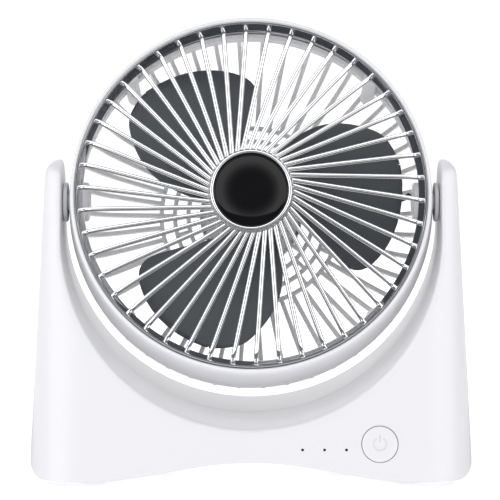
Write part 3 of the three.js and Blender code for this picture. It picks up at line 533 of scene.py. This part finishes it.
def casing_solid():
    """The whole casing as one solid: three outlines crossed, softened, and cut clean below."""
    reach = BASE_HALF_DEPTH + 5
    wide = BASE_HALF_WIDTH + 5
    body = prism("casing", [(x, -reach, z) for x, z in front_outline()], (0, 2 * reach, 0))
    top = ARM_TOP_Z + 5
    low = -SPARE_BELOW - 2
    plan = prism("plan_block", [(x, y, low) for x, y in plan_outline()], (0, 0, top - low))
    only(plan)
    bpy.ops.object.mode_set(mode="EDIT")
    bpy.ops.mesh.select_all(action="DESELECT")
    bpy.ops.object.mode_set(mode="OBJECT")
    for vertex in plan.data.vertices:
        vertex.select = vertex.co.z > top * MM / 2
    bpy.ops.object.mode_set(mode="EDIT")
    taper = (half_width_at(top) / half_width_at(low), half_depth_at(top) / half_depth_at(low), 1)
    bpy.ops.transform.resize(value=taper, center_override=(0, 0, 0))
    side = [(-reach, low), (reach, low), (reach, PIVOT_Z)]
    side += arc(0, PIVOT_Z, ARM_HALF_DEPTH, 0, 180, 28) + [(-reach, PIVOT_Z)]
    profile = prism("side_block", [(-wide, y, z) for y, z in side], (2 * wide, 0, 0))
    for other in (plan, profile):
        modify(body, "BOOLEAN", operation="INTERSECT", object=other, solver="EXACT")
        bpy.data.objects.remove(other)
    modify(body, "REMESH", mode="VOXEL", voxel_size=VOXEL * MM)
    modify(body, "SMOOTH", factor=0.5, iterations=SOFTENING_ROUNDS)
    under = lower_outline() + [(-wide, -SPARE_BELOW - 5), (wide, -SPARE_BELOW - 5)]
    below = prism("below", [(x, -reach, z) for x, z in under], (0, 2 * reach, 0))
    return subtract(body, below)


def on_lower_cut(face):
    """True for the faces of the clean cut under the casing, which is left open."""
    spot = face.center / MM
    return face.normal.z < -0.8 and abs(spot.x) < CORNER_X and abs(spot.z - arch_z(spot.x)) < 0.1


def shell_half(body, name, side):
    """One moulded half of the casing, open below and along the seam."""
    shell = twin(body, Matrix.Identity(4))
    only(shell)
    bpy.ops.object.mode_set(mode="EDIT")
    bpy.ops.mesh.select_all(action="SELECT")
    bpy.ops.mesh.bisect(plane_co=(0, side * SEAM_GAP / 2 * MM, 0), plane_no=(0, -side, 0), clear_outer=True)
    bpy.ops.mesh.select_all(action="DESELECT")
    bpy.ops.object.mode_set(mode="OBJECT")
    for face in shell.data.polygons:
        face.select = on_lower_cut(face)
    bpy.ops.object.mode_set(mode="EDIT")
    bpy.ops.mesh.select_mode(type="FACE")
    bpy.ops.mesh.delete(type="FACE")
    bpy.ops.mesh.select_mode(type="VERT")
    bpy.ops.object.mode_set(mode="OBJECT")
    modify(shell, "SOLIDIFY", thickness=WALL * MM, offset=-1, use_even_offset=True, thickness_clamp=1.0)
    return named(name)


def round_cutter(name, radius, low, high, steps=48):
    return spun(name, [(0, low), (radius, low), (radius, high), (0, high)], steps=steps)


casing = casing_solid()
front_shell = shell_half(casing, "base_front", -1)
rear_shell = shell_half(casing, "base_rear", 1)
bpy.data.objects.remove(casing)

holes = [on_panel(round_cutter("hole", BUTTON_R + 0.3, -6, 6, 96), BUTTON_X, BUTTON_Z)]
holes += [on_panel(round_cutter("hole", 0.6, -6, 6, 24), x, LAMP_Z) for x in LAMP_XS]
subtract(front_shell, joined("front_holes", holes))

socket_low, socket_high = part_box("usb_socket")
socket_mid = (socket_low + socket_high) / 2 / MM
SOCKET_HALF_H = 1.65
SOCKET_HALF_W = 4.5
SOCKET_LENGTH = 7.3
SOCKET_DEPTH = 6.2
SOCKET_WALL = 0.35


def socket_outline(grow, y):
    half = SOCKET_HALF_H + grow
    flat = SOCKET_HALF_W + grow - half
    spots = arc(flat, socket_mid.z, half, -90, 90, 10) + arc(-flat, socket_mid.z, half, 90, 270, 10)
    return [(x, y, z) for x, z in spots]


rear_cuts = [prism("mouth", socket_outline(0.3, 35), (0, 20, 0))]
for place in ("left_lower", "left_upper", "right_lower", "right_upper"):
    low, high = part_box("shell_screw_" + place)
    x, z = (low.x + high.x) / 2 / MM, (low.z + high.z) / 2 / MM
    tube = round_cutter("recess", 2.9, 14, 60, 40)
    tube.location = Vector((x, 0, z)) * MM
    rear_cuts.append(settle(tube))
subtract(rear_shell, joined("rear_holes", rear_cuts))

for shell, node in ((front_shell, "base_front_shell"), (rear_shell, "base_rear_shell")):
    smooth(shell, 50)
    dress(shell, WHITE, "white_shell", "base", node)

# ---------- button, its mark, and the feet ----------
button = spun("push_button", [(0, -3.4), (8.4, -3.4), (8.4, -2.5), (7.5, -2.5), (7.5, 0.1), (7.2, 0.4),
                              (6.8, 0.5), (5.0, 0.38), (2.5, 0.3), (0, 0.28)], steps=96)
stem = spun("stem", [(0, -4.0), (2.0, -4.0), (2.0, -3.2), (0, -3.2)], steps=32)
button = joined("push_button", [button, stem])
dress(on_panel(button, BUTTON_X, BUTTON_Z), WHITE, "white_shell", "button", "power_button")

MARK_R = 2.7
mark = chain("power_mark", [(MARK_R + dx, 0.31 + dy, 0) for dx, dy in arc(0, 0, 0.3, 0, 315, 7)])
bpy.ops.mesh.edge_face_add()
bpy.ops.mesh.select_all(action="SELECT")
bpy.ops.mesh.spin(steps=40, angle=math.radians(290), center=(0, 0, 0), axis=(0, 1, 0))
tidy_normals(mark)
mark.data.transform(Matrix.Rotation(math.radians(55), 4, "Y"))
bar = spun("mark_bar", [(0, -1.6), (0.3, -1.6), (0.3, 1.3), (0, 1.3)], steps=12, bevel=0.1)
bar.data.transform(Matrix.Translation(Vector((0, 0.31, -2.1)) * MM) @ Matrix.Rotation(math.pi / 2, 4, "X"))
mark = smooth(joined("power_mark", [mark, bar]))
dress(on_panel(mark, BUTTON_X, BUTTON_Z), MARK, "white_shell", "button")

for place in ("front_left", "front_right", "rear_left", "rear_right"):
    low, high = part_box("foot_" + place)
    foot = spun("rubber_foot_" + place, [(0, 0), (5.2, 0), (5.6, 0.25), (6.3, 0.25), (6.9, 0.6), (7.0, 1.0),
                                         (7.0, 2.0), (0, 2.0)], steps=64)
    foot.rotation_euler = (math.pi / 2, 0, 0)
    foot.location = ((low.x + high.x) / 2, (low.y + high.y) / 2, 0)
    dress(settle(foot), RUBBER, "foot_rubber", "base", "foot_" + place)


# ---------- screws ----------
def screw(name, length, head_r=2.6):
    """A pan-head screw with its tip at y = 0 and a cross recess in its head."""
    shank = [(0, 0), (1.0, 1.2)]
    turns = int((length - 3.5) / 0.8)
    for i in range(turns):
        y = 1.4 + 0.8 * i
        shank += [(1.2, y), (0.95, y + 0.4)]
    shank += [(1.2, length - 1.8), (1.2, length - 1.6), (head_r, length - 1.6), (head_r, length - 0.9),
              (head_r - 0.35, length - 0.35), (head_r - 1.0, length - 0.05), (0, length)]
    made = spun(name, shank, steps=32)
    arms = [block("arm", (-1.45, length - 0.9, -0.28), (1.45, length + 1, 0.28), 0.05),
            block("arm", (-0.28, length - 0.9, -1.45), (0.28, length + 1, 1.45), 0.05)]
    for arm in arms:
        subtract(made, arm)
    return smooth(made, 35)


def place_screws(names, length, turn, at, body, into=None):
    master = screw("screw", length)
    for i, name in enumerate(names):
        copy = twin(master, turn)
        only(copy)
        copy.location = Vector(at(name)) * MM
        settle(copy)
        if into:
            into(copy)
        only(copy)
        dress(named("pan_" + name), STEEL, "screw_steel", body, name)
    bpy.data.objects.remove(master)


def box_middle(node):
    low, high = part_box(node)
    return (low + high) / 2 / MM, low / MM, high / MM


def plate_screw_tip(name):
    middle, _, high = box_middle(name)
    return (middle.x, middle.y, high.z)


def shell_screw_tip(name):
    middle, low, _ = box_middle(name)
    return (middle.x, low.y, middle.z)


CORNERS = ("front_left", "front_right", "rear_left", "rear_right")
SHELL_SCREWS = ("left_lower", "left_upper", "right_lower", "right_upper")
place_screws(["plate_screw_" + c for c in CORNERS], 12, Matrix.Rotation(-math.pi / 2, 4, "X"),
             plate_screw_tip, "base")
place_screws(["shell_screw_" + c for c in SHELL_SCREWS], 24, Matrix.Identity(4), shell_screw_tip, "base")

COVER_POST_AT = HEAD_R - WALL - POST_R - POST_GAP
COVER_ANGLES = {"upper_right": 45, "upper_left": 135, "lower_left": 225, "lower_right": 315}


def cover_spot(angle, y=0.0):
    a = math.radians(angle)
    return (COVER_POST_AT * math.cos(a), y, COVER_POST_AT * math.sin(a))


def cover_screw_tip(name):
    return cover_spot(COVER_ANGLES[name.replace("cover_screw_", "")], 0.4)


def on_cover_post(piece, angle):
    """Moves a piece shaped about Y onto the axis of one cover screw."""
    piece.data.transform(Matrix.Translation(Vector(cover_spot(angle)) * MM))
    return piece


place_screws(["cover_screw_" + c for c in COVER_ANGLES], 22, Matrix.Identity(4), cover_screw_tip, "head",
             in_head)

# ---------- head barrel ----------
barrel = spun("barrel", [
    (LIP_R - 1.7, LIP_Y + 0.8), (LIP_R - 1.5, LIP_Y + 0.3), (LIP_R - 1.1, LIP_Y), (LIP_R - 0.7, LIP_Y),
    (LIP_R - 0.3, LIP_Y + 0.2), (LIP_R, LIP_Y + 0.8),
    (77.6, -13.0), (78.4, -3.5), (79.0, 3.0), (79.45, 8.6), (79.3, 9.1), (79.0, 9.2), (77.5, 9.2),
    (77.3, 8.9), (75.4, -15.0), (72.2, -15.0), (72.2, -16.7), (75.3, -16.7)], steps=192)
parts = [barrel]
for side in (-1, 1):
    boss = spun("boss", [(0, 70), (7.6, 70), (8.3, 70.5), (8.5, 71.2), (8.5, 78.2), (0, 78.2)], steps=48)
    rim = spun("boss_rim", [(3.7, 69.6), (5.0, 69.6), (5.2, 69.9), (5.2, 71), (3.7, 71)], steps=40)
    parts += [to_side(boss, side), to_side(rim, side)]
for angle in COVER_ANGLES.values():
    post = spun("post", [(0, -15.4), (POST_R, -15.4), (POST_R, 9.0), (0, 9.0)], steps=28)
    parts.append(on_cover_post(post, angle))
dress(in_head(joined("barrel", parts)), WHITE, "white_shell", "head", "head_barrel")

for side, side_name in ((-1, "left"), (1, "right")):
    stub = spun("tilt_stub_" + side_name, [
        (1.5, 72.0), (3.4, 72.0), (3.4, 79.3), (8.2, 79.3), (8.5, 79.6), (8.5, 80.7), (8.2, 81.0),
        (4.0, 81.0), (4.0, 84.8), (3.7, 84.9), (1.5, 84.9)], steps=64)
    dress(in_head(to_side(stub, side)), WHITE, "white_shell", "head", "pivot_stub_" + side_name)


# ---------- rear cover ----------
def rib_outline():
    """Side section of one rib, from the rim round the edge and in to the cells, as (radius, y) points."""
    outer = smooth_line([(HEAD_R, RIM_END_Y + 2), (HEAD_R - 1.2, RIM_END_Y + 9), (HEAD_R - 5.5, BACK_Y - 7),
                         (HEAD_R - 16, BACK_Y - 2.2), (INNER_ZONE_R, BACK_Y)], 5)
    inner = []
    for i, (r, y) in enumerate(outer):
        before, after = outer[max(i - 1, 0)], outer[min(i + 1, len(outer) - 1)]
        dr, dy = after[0] - before[0], after[1] - before[1]
        length = math.hypot(dr, dy)
        inner.append((r - dy / length * RIB_DEPTH, y + dr / length * RIB_DEPTH))
    return [(HEAD_R - RIB_DEPTH, SEAM_Y + 3), (HEAD_R - 0.3, SEAM_Y + 3)] + outer + inner[::-1]


rib = prism("rib", [(r, y, -RIB_WIDTH / 2) for r, y in rib_outline()], (0, 0, RIB_WIDTH), bevel=0.4)
cover_parts = [about_axis(rib, REAR_RIBS)]
cover_parts.append(spun("rim", [
    (77.3, 9.5), (79.2, 9.5), (79.5, 9.8), (79.5, 14.2), (79.2, 14.5), (76.6, 14.5), (74.8, 11.6),
    (74.8, 5.2), (76.6, 5.2), (76.8, 9.5)], steps=192))
for row in range(CELL_ROWS + 1):
    radius, half = INNER_ZONE_R - row * CELL_ROW, RIB_WIDTH / 2
    cover_parts.append(spun("cell_ring", [
        (radius - half, BACK_Y - RIB_DEPTH), (radius + half, BACK_Y - RIB_DEPTH), (radius + half, BACK_Y),
        (radius - half, BACK_Y)], steps=96, bevel=0.35))
for row in range(CELL_ROWS):
    middle = INNER_ZONE_R - (row + 0.5) * CELL_ROW
    count = CELLS_IN_OUTER_ROW - row * CELLS_LOST_PER_ROW
    web = block("web", (middle - 3, BACK_Y - 3.1, -0.8), (middle + 3, BACK_Y - 0.15, 0.8), 0.3)
    cover_parts.append(about_axis(web, count, start=(row % 2) * 180 / count))
cover_parts.append(spun("motor_cup", [
    (0, 31.5), (14.3, 31.5), (14.3, 20.3), (14.6, 20.0), (16.2, 20.0), (16.5, 20.3), (16.5, 30.8),
    (22.5, 30.8), (22.5, BACK_Y - 0.6), (21.9, BACK_Y), (15.5, BACK_Y), (15.0, BACK_Y - 0.4),
    (12.0, BACK_Y - 0.4), (11.5, BACK_Y), (0, BACK_Y)], steps=96))
for angle in COVER_ANGLES.values():
    post = spun("cover_post", [(1.6, 9.6), (POST_R, 9.6), (POST_R, 24.3), (POST_R - 0.2, 24.5),
                               (POST_R - 0.3, 24.3), (POST_R - 0.3, 20.5), (1.6, 20.5)], steps=28)
    cover_parts.append(on_cover_post(post, angle))
# The rear guard takes the lighter cage white, which paints out part of the shade on its ribs.
dress(in_head(joined("rear_guard", cover_parts)), CAGE_WHITE_PAINTED_LIFT, "white_shell", "head", "rear_cover")

# ---------- chrome grille ----------
ring = spun("chrome_ring", [
    (RING_R, -17.0), (RING_R, -21.0), (RING_R - 0.15, -21.5), (RING_R - 0.5, -21.8), (RING_R - 0.9, -21.8),
    (RING_R - 1.2, -21.5), (RING_R - 1.35, -21.0), (RING_INNER_R + 0.7, -18.9),
    (RING_INNER_R + 0.1, -17.8), (RING_INNER_R, -17.0)], steps=224)
bezel = spun("hub_bezel", [
    (0, -24.2), (15.7, -24.2), (15.75, -26.3), (16.0, -26.75), (16.5, -27.0), (17.1, -26.9), (17.6, -26.4),
    (17.7, -25.7), (17.9, -25.5), (18.2, -25.2), (18.3, -24.4), (17.9, -22.2), (0, -22.6)], steps=128)

SPOKE_HALF_W = 1.05
SPOKE_HALF_D = 0.85
SPOKE_SIDES = 12
SPOKE_PATH = ((16.2, -24.3), (30, -23.0), (45, -21.6), (60, -20.3), (67.5, -19.6), (70.2, -19.1),
              (71.6, -18.3), (72.4, -17.3))
first_r, first_y = SPOKE_PATH[0]
section = [(first_r, first_y + SPOKE_HALF_D * math.sin(a), SPOKE_OFFSET + SPOKE_HALF_W * math.cos(a))
           for a in (math.tau * i / SPOKE_SIDES for i in range(SPOKE_SIDES))]
spoke = chain("spoke", section)
bpy.ops.mesh.edge_face_add()
for (r0, y0), (r1, y1) in zip(SPOKE_PATH, SPOKE_PATH[1:]):
    bpy.ops.mesh.extrude_region_move(TRANSFORM_OT_translate={"value": Vector((r1 - r0, y1 - y0, 0)) * MM})
tidy_normals(spoke)
smooth(spoke, 60)
spokes = about_axis(spoke, SPOKES)
grille = in_head(joined("front_guard", [ring, bezel, spokes]))
dress(grille, CHROME, "chrome_grille", "head", "front_grille")

badge = spun("badge", [
    (0, -25.5), (BADGE_R - 0.1, -25.5), (BADGE_R, -25.7), (BADGE_R, -26.3), (15.2, -26.75), (13.9, -27.3),
    (11.6, -27.95),
    (8.8, -28.45), (5.8, -28.75), (2.8, -28.88), (0, -28.9)], steps=96)
dress(in_head(badge), BLACK_GLOSS, "black_gloss", "head", "hub_badge")

# ---------- impeller ----------
# Each blade edge: a share of the tip radius, and the degrees from the blade's middle line there.
ROOT_SHARE = 0.21
LOW_EDGE = [(ROOT_SHARE, -12), (0.36, -28), (0.52, -38), (0.69, -43), (0.8, -43), (0.88, -38), (0.95, -25),
            (0.985, -11), (1.0, 3)]
HIGH_EDGE = [(ROOT_SHARE, 58), (0.34, 50), (0.5, 43), (0.69, 34), (0.89, 21), (0.97, 14), (1.0, 3)]
TIP_SHARE = 0.9995
BLADES = 3
BLADE_MIDDLE_Y = (HUB_FRONT_Y + HUB_BACK_Y) / 2
BLADE_AIM = 131
BLADE_THICKNESS = 1.6
BLADE_BOW = 1.6
PITCH_AT_AXIS = 25
PITCH_LOST_TO_TIP = 8


def blade_sheet():
    """A twisted blade: a flat grid laid out between the two edge curves."""
    deselect()
    across, along = 24, 30
    bpy.ops.mesh.primitive_grid_add(x_subdivisions=along, y_subdivisions=across, size=1)
    sheet = settle(named("blade"))
    low_line, high_line = smooth_line(LOW_EDGE, 10), smooth_line(HIGH_EDGE, 10)
    for vertex in sheet.data.vertices:
        u, v = vertex.co.x + 0.5, vertex.co.y + 0.5
        share = min(ROOT_SHARE + (1 - ROOT_SHARE) * (1 - (1 - u) ** 1.8), TIP_SHARE)
        a = math.radians(between(low_line, share) * (1 - v) + between(high_line, share) * v)
        r = share * BLADE_TIP_R
        pitch = math.radians(PITCH_AT_AXIS - PITCH_LOST_TO_TIP * share)
        lift = -r * math.sin(a) * math.tan(pitch)
        bow = BLADE_BOW * math.sin(math.pi * v) * (1 - share * 0.4)
        y = BLADE_MIDDLE_Y + lift - bow + BLADE_BOW / 2
        vertex.co = Vector((r * math.cos(a), y, r * math.sin(a))) * MM
    modify(sheet, "SOLIDIFY", thickness=BLADE_THICKNESS * MM, offset=0)
    tidy_normals(sheet)
    soften(sheet, 0.5, 3, 50)
    return smooth(sheet, 50)


blades = about_axis(blade_sheet(), BLADES, "blades", start=BLADE_AIM)
hub = spun("rotor_hub", [
    (1.5, -9.8), (14.3, -9.8), (14.3, HUB_BACK_Y - 0.2), (14.5, HUB_BACK_Y),
    (IMPELLER_HUB_R - 0.2, HUB_BACK_Y), (IMPELLER_HUB_R, HUB_BACK_Y - 0.2), (IMPELLER_HUB_R, -10.2),
    (16.0, -11.3), (15.0, HUB_FRONT_Y), (6.0, HUB_FRONT_Y), (1.5, HUB_FRONT_Y)], steps=96)
socket = spun("hub_socket", [(1.45, -11), (4.15, -11), (4.15, 5.0), (1.45, 5.0)], steps=48)
dress(in_head(joined("fan_rotor", [blades, hub, socket])), SLATE, "blade_slate", "impeller", "impeller")

# ---------- charging socket ----------
socket_mouth_y = socket_high.y / MM
can = chain("charge_socket", socket_outline(0, socket_mouth_y - SOCKET_LENGTH))
bpy.ops.mesh.edge_face_add()
bpy.ops.mesh.extrude_region_move(TRANSFORM_OT_translate={"value": (0, SOCKET_LENGTH * MM, 0)})
bpy.ops.mesh.inset(thickness=SOCKET_WALL * MM)
bpy.ops.mesh.extrude_region_move(TRANSFORM_OT_translate={"value": (0, -SOCKET_DEPTH * MM, 0)})
tidy_normals(can)
smooth(can)
dress(can, NICKEL, "socket_steel", "base", "usb_socket")
tongue = block("socket_tongue", (-3.3, socket_mouth_y - 6.8, socket_mid.z - 0.35),
               (3.3, socket_mouth_y - 1.2, socket_mid.z + 0.35), 0.12)
dress(tongue, BLACK_MOULDING, "black_moulding", "base")

# ---------- finishes of the pieces kept from the frame ----------
KEPT = {
    "bottom_plate": WHITE, "power_switch": BLACK_MOULDING, "battery_cradle": BLACK_MOULDING,
    "motor_cap": BLACK_MOULDING, "control_board": BOARD, "charge_board": BOARD, "battery_cell": WRAP,
    "level_lamp_1": LAMP, "level_lamp_2": LAMP, "level_lamp_3": LAMP, "friction_washer_left": STEEL,
    "friction_washer_right": STEEL, "pivot_screw_left": STEEL, "pivot_screw_right": STEEL,
    "motor_can": MOTOR_STEEL, "motor_shaft": MOTOR_STEEL, "motor_rotor": MOTOR_STEEL,
    "motor_bush_front": BRASS, "motor_bush_rear": BRASS, "arm_lead": SHEATH, "motor_lead": SHEATH,
}
for node, material in KEPT.items():
    piece = frame["nodes"][node]
    piece.data.materials.clear()
    piece.data.materials.append(material)

# ---------- floor and light ----------
deselect()
bpy.ops.mesh.primitive_plane_add(size=160, location=(0, 0, 0))
floor = named("floor")
floor_paint = bpy.data.materials.new("floor_pale")
floor_paint.use_nodes = True
paint_tree = floor_paint.node_tree
pale = paint_tree.nodes["Principled BSDF"]
for label, value in (("Base Color", (0.96, 0.96, 0.96, 1)), ("Roughness", 1.0), ("Specular IOR Level", 0.0),
                     ("Emission Color", (1, 1, 1, 1)), ("Emission Strength", 0.45)):
    pale.inputs[label].default_value = value
dim = paint_tree.nodes.new("ShaderNodeEmission")
floor_spot = paint_tree.nodes.new("ShaderNodeSeparateXYZ")
paint_tree.links.new(paint_tree.nodes.new("ShaderNodeNewGeometry").outputs["Position"], floor_spot.inputs[0])
to_backdrop = paint_tree.nodes.new("ShaderNodeMapRange")
for label, value in (("From Min", 0.05), ("From Max", 0.3), ("To Min", 0.2), ("To Max", 1.0)):
    to_backdrop.inputs[label].default_value = value
paint_tree.links.new(floor_spot.outputs["Y"], to_backdrop.inputs["Value"])
paint_tree.links.new(to_backdrop.outputs["Result"], dim.inputs["Strength"])
mirror_or_floor = paint_tree.nodes.new("ShaderNodeMixShader")
floor_path = paint_tree.nodes.new("ShaderNodeLightPath")
paint_tree.links.new(floor_path.outputs["Is Glossy Ray"], mirror_or_floor.inputs[0])
paint_tree.links.new(pale.outputs[0], mirror_or_floor.inputs[1])
paint_tree.links.new(dim.outputs[0], mirror_or_floor.inputs[2])
paint_tree.links.new(mirror_or_floor.outputs[0], paint_tree.nodes["Material Output"].inputs["Surface"])
floor.data.materials.append(floor_paint)


def soft_light(name, at, aim, size, power):
    data = bpy.data.lights.new(name, "AREA")
    data.shape = "RECTANGLE"
    data.size, data.size_y = size
    data.energy = power
    lamp = bpy.data.objects.new(name, data)
    lamp.location = at
    lamp.visible_glossy = False
    lamp.rotation_euler = (Vector(aim) - Vector(at)).to_track_quat("-Z", "Y").to_euler()
    bpy.context.scene.collection.objects.link(lamp)


soft_light("key", (-0.45, -1.0, 1.2), (0, 0, 0.06), (0.3, 0.3), 2.2)
soft_light("front", (0.0, -1.7, 0.22), (0, 0, 0.08), (1.3, 0.35), 1.5)
soft_light("rear", (0.1, 0.8, 0.45), (0, 0, 0.05), (0.5, 0.3), 1.2)


def sky_node(tree, kind, **values):
    node = tree.nodes.new(kind)
    for key, value in values.items():
        node.inputs[key].default_value = value
    return node


def facing(tree, direction, aim, low, high, dark, bright):
    """Brightness that rises from dark to bright as the direction turns towards aim."""
    dot = tree.nodes.new("ShaderNodeVectorMath")
    dot.operation = "DOT_PRODUCT"
    tree.links.new(direction, dot.inputs[0])
    dot.inputs[1].default_value = Vector(aim).normalized()
    spread = tree.nodes.new("ShaderNodeMapRange")
    spread.interpolation_type = "SMOOTHSTEP"
    for label, value in (("From Min", low), ("From Max", high), ("To Min", dark), ("To Max", bright)):
        spread.inputs[label].default_value = value
    tree.links.new(dot.outputs["Value"], spread.inputs["Value"])
    return spread.outputs["Result"]


world = bpy.data.worlds.new("studio")
bpy.context.scene.world = world
world.use_nodes = True
sky = world.node_tree
sky.nodes.clear()
direction = sky.nodes.new("ShaderNodeTexCoord").outputs["Generated"]
seen = sky_node(sky, "ShaderNodeBackground", Color=(1, 1, 1, 1), Strength=1.05)
fill = sky_node(sky, "ShaderNodeBackground", Color=(0.985, 0.985, 1, 1))
sky.links.new(facing(sky, direction, (-0.75, -0.45, 0.5), -1, 1, 0.58, 0.84), fill.inputs["Strength"])
mirrored = sky_node(sky, "ShaderNodeBackground", Color=(1, 1, 1, 1))
front_panel = facing(sky, direction, (0, -0.96, 0.28), 0.25, 0.45, 0.01, 2.0)
backdrop = facing(sky, direction, (0, 1, 0), 0.55, 0.8, 0.0, 1.0)
corner_panel = facing(sky, direction, (-0.62, 0.35, 0.7), 0.86, 0.96, 0.0, 0.8)
panels = math_node(sky, "MAXIMUM", math_node(sky, "MAXIMUM", front_panel, corner_panel), backdrop)
gap_in_panels = facing(sky, direction, (0, -0.9, 0.44), 0.84, 0.985, 1.0, 0.12)
sky.links.new(math_node(sky, "MULTIPLY", panels, gap_in_panels), mirrored.inputs["Strength"])
path = sky.nodes.new("ShaderNodeLightPath")
mirror_or_fill = sky.nodes.new("ShaderNodeMixShader")
sky.links.new(path.outputs["Is Glossy Ray"], mirror_or_fill.inputs[0])
sky.links.new(fill.outputs[0], mirror_or_fill.inputs[1])
sky.links.new(mirrored.outputs[0], mirror_or_fill.inputs[2])
choose = sky.nodes.new("ShaderNodeMixShader")
sky.links.new(path.outputs["Is Camera Ray"], choose.inputs[0])
sky.links.new(mirror_or_fill.outputs[0], choose.inputs[1])
sky.links.new(seen.outputs[0], choose.inputs[2])
sky.links.new(choose.outputs[0], sky.nodes.new("ShaderNodeOutputWorld").inputs["Surface"])
bpy.context.scene.view_settings.view_transform = "Standard"
